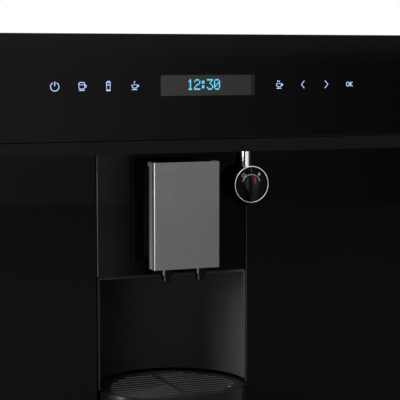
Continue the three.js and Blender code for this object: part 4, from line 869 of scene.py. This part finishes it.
class MACHINE_OT_clock(bpy.types.Operator):
    """Screen window with the time in lit dots"""

    bl_idname = "machine.clock"
    bl_label = "Screen and clock"

    def execute(self, context):
        sizes = settings("fascia")
        plane, height = control_plane()
        half, tall, proud = sizes.screen_width / 2, sizes.screen_height / 2, sizes.proud
        face = cuboid(
            "screen_window",
            (-half, plane - proud, height - tall),
            (half, plane + proud, height + tall),
        )

        def at_corner(edge):
            """Whether the edge runs through the window, from front to back."""
            return abs(edge.verts[0].co.y - edge.verts[1].co.y) > proud

        with editing(face, "EDGE"):
            pick(face, at_corner, "edges")
            bpy.ops.mesh.bevel(offset=SCREEN_CORNER, segments=4, affect="EDGES")
        finished(face, "screen_face", "machine")
        dots = [
            (start + column * DOT_WIDTH, height + CLOCK_TOP - row * DOT_HEIGHT)
            for start, figure in zip(FIGURE_STARTS, CLOCK_TIME)
            for row, line in enumerate(DIGITS[figure])
            for column, on in enumerate(line)
            if on == "1"
        ]
        x, z = dots[0]
        dot = cuboid(
            "clock_dot",
            (x + DOT_GAP, plane - 2.2 * proud, z - DOT_HEIGHT + DOT_GAP),
            (x + DOT_WIDTH - DOT_GAP, plane - 1.2 * proud, z - DOT_GAP),
        )
        copies = [softened(dot, 0.12 * MM, 1)]
        for u, v in dots[1:]:
            take(dot)
            bpy.ops.object.duplicate_move(TRANSFORM_OT_translate={"value": (u - x, 0, v - z)})
            copies.append(named("clock_dot"))
        finished(joined("clock_digits", copies), "clock_light", "machine")
        return {"FINISHED"}


# ---------------------------------------------------------------- niche and drawer

CURVE_STEPS = 72
NICHE_WALL, NICHE_EDGE, DRAWER_WALL = 2.5 * MM, 3 * MM, 2.2 * MM


def half_ellipse(x, y, half, depth):
    """Points from the right end to the left one; a negative depth bulges towards the user."""
    return arc(x, y, depth, 0, 180, CURVE_STEPS, half / depth)


class MACHINE_OT_cup_niche(bpy.types.Operator):
    """Concave recess for the cups"""

    bl_idname = "machine.cup_niche"
    bl_label = "Cup niche"

    def execute(self, context):
        low, high, middle, half = measured("niche_shell")

        def at_top(edge):
            """Whether the edge lies in the niche's top."""
            return all(corner.co.z > high.z - MM for corner in edge.verts)

        def at_mouth(edge):
            """Whether the edge lies in the plane that the niche opens in."""
            return all(corner.co.y < low.y + 0.01 * MM for corner in edge.verts)

        wall = half_ellipse(middle.x, low.y, half.x, 2 * half.y)
        niche = drawn("cup_niche", [(u, v, low.z) for u, v in wall], close=False)
        with editing(niche, "EDGE"):
            bpy.ops.mesh.extrude_region_move(
                TRANSFORM_OT_translate={"value": (0, 0, high.z - low.z)}
            )
            pick(niche, at_top, "edges")
            bpy.ops.mesh.edge_face_add()
            tidy_faces()
            pick(niche, lambda edge: at_top(edge) and not at_mouth(edge), "edges")
            bpy.ops.mesh.bevel(offset=NICHE_EDGE, segments=4, affect="EDGES")
        applied(niche, "SOLIDIFY", thickness=NICHE_WALL, offset=-1, use_even_offset=True)
        smooth(niche)
        finished(niche, "niche_satin", "machine", ("niche_shell",))
        return {"FINISHED"}


class MACHINE_OT_drawer_front(bpy.types.Operator):
    """Curved skin round the nose of the drip drawer"""

    bl_idname = "machine.drawer_front"
    bl_label = "Drawer front"

    def execute(self, context):
        low, high, middle, half = measured("drip_front")
        depth = high.y - low.y
        outer = half_ellipse(middle.x, high.y, half.x, -depth)
        inner = half_ellipse(middle.x, high.y, half.x - DRAWER_WALL, DRAWER_WALL - depth)
        front = drawn("drawer_front", [(u, v, low.z) for u, v in outer + inner[::-1]])
        raised(front, (0, 0, high.z - low.z))
        softened(front, 0.8 * MM, 3)
        smooth(front)
        finished(front, "drip_front_black", "drip_drawer", ("drip_front",))
        return {"FINISHED"}


# ---------------------------------------------------------------- dispenser

EAR_HEIGHT = 5 * MM
# Radius and height of an outlet's outside, in mm from its lower end
OUTLET_PROFILE = [
    (2.2, 1.2), (2.3, 0.4), (2.7, 0.0), (3.3, 0.0), (3.9, 0.25), (4.35, 0.8), (4.75, 1.8),
    (5.1, 3.4), (5.4, 5.2), (5.7, 6.2), (6.1, 6.8), (6.6, 7.3), (6.85, 7.8), (6.9, 8.3),
]


class MACHINE_OT_dispenser_cover(bpy.types.Operator):
    """Folded steel cover with rolled front edges and a shadow line behind them"""

    bl_idname = "machine.dispenser_cover"
    bl_label = "Dispenser cover"

    def execute(self, context):
        sizes = settings("dispenser")
        low, high, middle, half = measured("dispenser_cover")
        side, front, back = half.x, low.y, low.y + sizes.depth
        wall, roll, deep = sizes.wall, sizes.roll, sizes.groove_depth
        step = front + roll + sizes.groove_width
        right = [
            (side, back), (side, step + 0.15 * MM), (side - deep, step),
            (side - deep, front + roll + 0.3 * MM),
            *arc(side - roll, front + roll, roll, 9, -90, 11),
        ]
        inside = [(side - wall, front + wall), (side - wall, back)]
        outline = right + mirrored(right) + mirrored(inside) + inside
        name = "dispenser_cover_steel"
        cover = drawn(name, [(middle.x + u, v, low.z) for u, v in outline])
        raised(cover, (0, 0, high.z - low.z))
        pieces = [softened(cover, 0.28 * MM, 2, 60)]
        for way in (-1, 1):
            u = middle.x + way * (side - wall / 2)
            ear = cuboid(
                "cover_ear",
                (u - wall / 2, back - MM, high.z - EAR_HEIGHT),
                (u + wall / 2, high.y, high.z),
            )
            pieces.append(softened(ear, 0.3 * MM))

        def in_groove(face):
            """Whether the face lies in the shadow line behind the rolled edge."""
            centre = face.calc_center_median()
            sunk = (side - abs(centre.x - middle.x)) / deep
            return 0.3 < sunk < 1.15 and front + 0.8 * roll < centre.y < step + 0.3 * MM

        cover = smooth(joined(name, pieces), 32)
        finished(cover, "brushed_steel", "dispenser", ("dispenser_cover",))
        # The folded sides get lighter steel as a painted highlight, the groove behind the rolled
        # edge black as painted shadow
        zones = {"steel_fold": lambda face: abs(face.normal.x) > 0.8, "deep_black": in_groove}
        for place, (material, within) in enumerate(zones.items(), 1):
            cover.data.materials.append(MATERIALS[material])
            with editing(cover):
                pick(cover, within)
                cover.active_material_index = place
                bpy.ops.object.material_slot_assign()
        return {"FINISHED"}


class MACHINE_OT_coffee_outlets(bpy.types.Operator):
    """The two black outlets under the dispenser"""

    bl_idname = "machine.coffee_outlets"
    bl_label = "Coffee outlets"

    def execute(self, context):
        for side in ("left", "right"):
            node = f"coffee_outlet_{side}"
            low, high, middle, _ = measured(node)
            tall = (high.z - low.z) / MM
            outline = [*OUTLET_PROFILE, (6.9, tall - 0.2), (6.7, tall), (2.2, tall), (2.2, 1.2)]
            profile = [(radius * MM, height * MM) for radius, height in outline]
            outlet = turned(f"outlet_{side}", profile, (middle.x, middle.y, low.z), UP)
            smooth(outlet)
            finished(outlet, f"outlet_{side}_black", "dispenser", (node,))
        return {"FINISHED"}


# ---------------------------------------------------------------- steam arm

TUBE_WALL, TUBE_CHAMFER = 1.0 * MM, 0.3 * MM
PLATE_BORE, PLATE_CHAMFER = 3.4 * MM, 0.4 * MM

# A printed mark of the dial, in mm: its place from the dial's middle, and its lines with their
# width and whether they close
CUP_MARK = (-10.0, 10.4), [
    ([(-1.9, 0.9), (-1.6, -1.0), (-0.8, -1.7), (0.8, -1.7), (1.6, -1.0), (1.9, 0.9)], 0.85, True),
    (arc(2.2, -0.2, 1.0, -80, 90, 8), 0.75, False),
    ([(-0.7, 1.6), (-0.3, 2.8)], 0.75, False),
    ([(0.7, 1.6), (1.1, 2.8)], 0.75, False),
]
DROP_MARK = (9.6, 11.0), [
    ([(0, 1.5), (1.3, 0), (0, -1.2), (-1.3, 0)], 1.3, True),
    ([(0, 1.0), (0, 2.4)], 0.7, False),
]

# The grip in mm: from the plate to its base and to its top, how its top falls towards its
# point, its flank below the crown, and the flank of its bell-shaped section
GRIP_BASE, GRIP_TOP, GRIP_SLOPE = 1.1, 12.0, 4.4 / 8.1
GRIP_FLANK = [
    (8.7, -2.6), (7.6, -4.4), (6.4, -6.2), (5.5, -8.6), (4.8, -11.4), (4.3, -14.2), (4.0, -16.4),
    (3.5, -17.3), (2.8, -17.6),
]
GRIP_BELL = [
    (10.2, -0.1), (10.2, 1.5), (8.4, 1.9), (6.7, 2.8), (5.4, 4.2), (4.5, 6.0), (3.8, 8.4),
    (3.3, 12.1),
]
# Height above the dial's middle at which the top begins to fall, and the painted pointer on it
BROW = 1.5
POINTER = [(-0.7, 2.2), (0.7, 2.2), (0.7, 8.6), (0.4, 9.0), (-0.4, 9.0), (-0.7, 8.6)]


def dial_centre():
    """Middle of the dial's front."""
    low, _, middle, _ = measured("knob_ring")
    return Vector((middle.x, low.y, middle.z))


class MACHINE_OT_steam_tube(bpy.types.Operator):
    """Chrome tube from the trim rail down to the dial"""

    bl_idname = "machine.steam_tube"
    bl_label = "Steam tube"

    def execute(self, context):
        low, high, middle, half = measured("steam_tube")
        radius, bore, tall = half.x, half.x - TUBE_WALL, high.z - low.z
        profile = [
            (bore, 0), (radius - TUBE_CHAMFER, 0), (radius, TUBE_CHAMFER), (radius, tall),
            (bore, tall), (bore, 0),
        ]
        tube = turned("steam_tube_chrome", profile, (middle.x, middle.y, low.z), UP)
        smooth(tube)
        finished(tube, "tube_chrome", "steam_arm", ("steam_tube",))
        return {"FINISHED"}


class MACHINE_OT_dial(bpy.types.Operator):
    """Chrome ring, and the black plate with its printed scale"""

    bl_idname = "machine.dial"
    bl_label = "Dial"

    def execute(self, context):
        sizes = settings("dial")
        middle = dial_centre()
        half = measured("knob_ring")[3]
        inner, curve, deep = half.x - sizes.lip, sizes.lip / 2, 2 * half.y
        lip = arc(inner + curve, curve, curve, 0, -180, 12)
        profile = [*lip, (inner, deep), (half.x, deep), lip[0]]
        ring = smooth(turned("dial_ring", profile, middle, INWARD))
        finished(ring, "polished_chrome", "steam_arm", ("knob_ring",))

        low, _, _, half = measured("dial_plate")
        radius, thick = half.x, 2 * half.y
        face = Vector((middle.x, low.y, middle.z))
        profile = [
            (PLATE_BORE, 0), (radius - PLATE_CHAMFER, 0), (radius, PLATE_CHAMFER),
            (radius, thick), (PLATE_BORE, thick), (PLATE_BORE, 0),
        ]
        plate = smooth(turned("dial_face", profile, face, INWARD))
        finished(plate, "dial_black", "steam_arm", ("dial_plate",))

        proud = settings("fascia").proud
        scale = arc(0, 0, sizes.arc_radius / MM, 17, 163, 36)
        prints = [stroke(scale, sizes.arc_stroke, face, proud)]
        for (u, v), lines in (CUP_MARK, DROP_MARK):
            centre = face + Vector((u, 0, v)) * MM
            prints += [
                stroke(points, width * MM, centre, proud, closed)
                for points, width, closed in lines
            ]
        finished(joined("dial_scale", prints), "dial_print", "steam_arm")
        tick = stroke([(0, 13.4), (0, 17.6)], 0.8 * MM, face, proud)
        finished(joined("dial_tick_mark", [tick]), "dial_tick", "steam_arm")
        return {"FINISHED"}


class MACHINE_OT_dial_grip(bpy.types.Operator):
    """Drop-shaped grip with its painted pointer"""

    bl_idname = "machine.dial_grip"
    bl_label = "Dial grip"

    def execute(self, context):
        middle = dial_centre()
        base = middle.y + GRIP_BASE * MM
        right = [*arc(0, 0, settings("dial").crown / MM, 90, -6, 18), *GRIP_FLANK]
        outline = [
            (middle.x + u * MM, base, middle.z + v * MM) for u, v in right + mirrored(right[1:])
        ]
        grip = raised(drawn("dial_grip_black", outline), (0, -GRIP_TOP * MM, 0))
        bell = [
            (middle.x + u * MM, base - height * MM, middle.z - 18 * MM)
            for u, height in GRIP_BELL + mirrored(GRIP_BELL)
        ]
        shared(grip, raised(drawn("grip_bell", bell), (0, 0, 28.5 * MM)))
        brow = Vector((middle.x, base - GRIP_TOP * MM, middle.z + BROW * MM))
        above = Vector((0, -1, GRIP_SLOPE))
        with editing(grip):
            bpy.ops.mesh.bisect(plane_co=brow, plane_no=above, use_fill=True, clear_outer=True)
            tidy_faces()
        softened(grip, 0.35 * MM, 2, 30)
        radius, deep = 3.0 * MM, 8.0 * MM
        spindle = turned(
            "grip_spindle", [(0, 0), (radius, 0), (radius, deep), (0, deep)],
            (middle.x, base - 0.5 * MM, middle.z), INWARD, 32,
        )
        grip = smooth(joined("dial_grip_black", [grip, spindle]), 30)
        finished(grip, "grip_black", "steam_knob", ("knob_grip",))

        out = above.normalized() * 0.06 * MM
        mark = [
            brow + out + Vector((u, GRIP_SLOPE * (v - BROW), v - BROW)) * MM for u, v in POINTER
        ]
        pointer = raised(drawn("grip_pointer", mark), -2 * out)
        finished(pointer, "pointer_red", "steam_knob")
        return {"FINISHED"}


# ---------------------------------------------------------------- pieces of the frame

# Nodes whose finish isn't the one of their slot's name
NODE_FINISHES = {
    "coffee_outlet_left": "outlet_left_black",
    "coffee_outlet_right": "outlet_right_black",
    "left_glass": "left_glass",
    "middle_glass": "middle_glass",
    "right_glass": "right_glass",
    # These black parts are drawn much darker than their plastic, as painted shadow
    "dispenser_carriage": "deep_black",
    "dispenser_column": "deep_black",
    "distributor": "deep_black",
    "valve_body": "deep_black",
    "steam_nozzle": "deep_black",
}
EDGE, TRIM_EDGE = 0.3 * MM, 0.9 * MM


class MACHINE_OT_finishes(bpy.types.Operator):
    """Finishes of the pieces that keep their packed shape"""

    bl_idname = "machine.finishes"
    bl_label = "Finishes"

    def execute(self, context):
        make_materials()
        for row in frame["record"]["subparts"]:
            name, slot = row["node"], row["material_slot"]
            node = frame["nodes"][name]
            node.data.materials.clear()
            node.data.materials.append(MATERIALS[NODE_FINISHES.get(name, slot)])
            weld = node.modifiers.new("weld", "WELD")
            weld.merge_threshold = 0.01 * MM
            edges = node.modifiers.new("edges", "BEVEL")
            edges.limit_method = "ANGLE"
            edges.angle_limit = math.radians(40)
            edges.segments = 2
            edges.width = TRIM_EDGE if name == "trim_rail" else EDGE
        return {"FINISHED"}


# ---------------------------------------------------------------- stage

WHITE = (1, 1, 1, 1)
# Each lamp's place, the point it faces, and its width and height
LAMPS = {
    "side": ((-2.3, -0.36, 1.0), (0.0, -0.02, 0.22), (0.9, 1.2)),
    "glint": ((-1.23, -0.33, 0.25), (0.0, -0.03, 0.22), (0.3, 0.44)),
    "key": ((-0.9, -2.0, 2.1), (0.0, 0.0, 0.25), (1.0, 1.0)),
    "back": ((1.2, 2.2, 1.9), (0.0, 0.2, 0.3), (1.6, 1.6)),
}
FLOOR_OVERLAP = 0.03
CAMERA_PLACE = (-0.6108, -1.5330, 0.4321)
# Degrees below the horizon, and to the right of straight into the cabinet
CAMERA_DOWN, CAMERA_RIGHT = 5.72, 21.96
LENS, SENSOR = 129.0, 36.0


def floor_disc(name, radius, height):
    """A round sheet of floor."""
    fresh()
    bpy.ops.mesh.primitive_circle_add(
        vertices=96, radius=radius, fill_type="NGON", location=(0, 0, height)
    )
    return named(name)


def area_lamp(name, place, target, size, power):
    """A soft rectangular lamp that faces the target."""
    bpy.ops.object.light_add(type="AREA", location=place)
    lamp = bpy.context.active_object
    lamp.name = name
    lamp.data.shape = "RECTANGLE"
    lamp.data.size, lamp.data.size_y = size
    lamp.data.energy = power
    lamp.rotation_euler = (Vector(target) - Vector(place)).to_track_quat("-Z", "Y").to_euler()
    return lamp


class MACHINE_OT_stage(bpy.types.Operator):
    """Pale floor, soft lamps, room light and the camera"""

    bl_idname = "machine.stage"
    bl_label = "Stage"

    def execute(self, context):
        sizes = settings("stage")
        scene = context.scene
        floor = Recipe("floor_paint", level=0.25)
        tone = floor.tones(floor.noise(3.0), sizes.floor_colour, 0.97, 1.0)
        floor.feed(colour=tone, roughness=floor.spread(floor.noise(40.0), 0.6, 0.75))
        near = floor_disc("near_floor", sizes.near_floor, 0)
        far = floor_disc("far_floor", sizes.far_floor, -MM)
        with editing(far):
            bpy.ops.mesh.inset(thickness=sizes.far_floor - sizes.near_floor + FLOOR_OVERLAP)
            pick(far, lambda face: len(face.verts) > 8)
            bpy.ops.mesh.delete(type="FACE")
        far.visible_glossy = False
        for piece in (near, far):
            piece.data.materials.append(floor.material)
        for name, row in LAMPS.items():
            lamp = area_lamp(f"{name}_lamp", *row, getattr(sizes, f"{name}_power"))
            lamp.visible_diffuse = name != "glint"
        self.room(scene, sizes.room_light)
        bpy.ops.object.camera_add(
            location=CAMERA_PLACE,
            rotation=(math.radians(90 - CAMERA_DOWN), 0, math.radians(-CAMERA_RIGHT)),
        )
        camera = context.active_object
        camera.data.lens = LENS
        camera.data.sensor_width = SENSOR
        scene.camera = camera
        scene.view_settings.view_transform = "Standard"
        return {"FINISHED"}

    def room(self, scene, strength):
        """White room; below the horizon, past the near floor, it darkens to the right."""
        scene.world = bpy.data.worlds.new("room")
        scene.world.use_nodes = True
        made = Nodes(scene.world.node_tree)
        made.tree.nodes.clear()
        x, y, z = made.parts(made.add("ShaderNodeTexCoord").outputs["Generated"])
        turn = made.math("ARCTAN2", x, made.math("MULTIPLY", y, -1.0))
        shade = made.spread(turn, 1.1, 0.25, math.radians(10), math.radians(30))
        depth = made.spread(z, 1.0, 0.72, -math.radians(3.2), -math.radians(4.6))
        below, above = made.math("MULTIPLY", shade, depth), made.spread(z, 0.0, 1.0, -0.004, 0.012)
        level = made.add("ShaderNodeMix", {0: above, 2: below, 3: 1.0}).outputs[0]
        seen, light = [
            made.add("ShaderNodeBackground", {"Color": WHITE, "Strength": value}).outputs[0]
            for value in (level, strength)
        ]
        path = made.add("ShaderNodeLightPath").outputs
        direct = made.math("ADD", path["Is Camera Ray"], path["Is Glossy Ray"])
        direct = made.math("MINIMUM", made.math("ADD", direct, path["Is Transmission Ray"]), 1.0)
        both = made.add("ShaderNodeMixShader", {0: direct, 1: light, 2: seen}).outputs[0]
        made.add("ShaderNodeOutputWorld", {"Surface": both})


# ---------------------------------------------------------------- panel and running

SETTINGS = {
    "finish": FinishSettings,
    "fascia": FasciaSettings,
    "dispenser": DispenserSettings,
    "dial": DialSettings,
    "stage": StageSettings,
}
OPERATORS = [
    MACHINE_OT_finishes,
    MACHINE_OT_touch_symbols,
    MACHINE_OT_clock,
    MACHINE_OT_cup_niche,
    MACHINE_OT_drawer_front,
    MACHINE_OT_dispenser_cover,
    MACHINE_OT_coffee_outlets,
    MACHINE_OT_steam_tube,
    MACHINE_OT_dial,
    MACHINE_OT_dial_grip,
    MACHINE_OT_stage,
]


class MACHINE_PT_panel(bpy.types.Panel):
    """Lists the machine's pieces and their settings"""

    bl_idname = "MACHINE_PT_panel"
    bl_label = "Coffee machine"
    bl_space_type = "VIEW_3D"
    bl_region_type = "UI"
    bl_category = "Coffee machine"

    def draw(self, context):
        for operator in OPERATORS:
            self.layout.operator(operator.bl_idname)
        for part, group in SETTINGS.items():
            box = self.layout.box()
            box.label(text=group.__doc__)
            for name in group.__annotations__:
                box.prop(settings(part), name)


def register():
    """Registers the settings, the operators and the panel."""
    for part, group in SETTINGS.items():
        bpy.utils.register_class(group)
        setattr(bpy.types.Scene, f"coffee_{part}", PointerProperty(type=group))
    for made in [*OPERATORS, MACHINE_PT_panel]:
        bpy.utils.register_class(made)


def unregister():
    """Undoes register."""
    for made in reversed([*OPERATORS, MACHINE_PT_panel]):
        bpy.utils.unregister_class(made)
    for part, group in reversed(SETTINGS.items()):
        delattr(bpy.types.Scene, f"coffee_{part}")
        bpy.utils.unregister_class(group)


def main():
    """Builds every piece and the stage."""
    register()
    for operator in OPERATORS:
        group, name = operator.bl_idname.split(".")
        getattr(getattr(bpy.ops, group), name)()


if __name__ == "__main__":
    main()
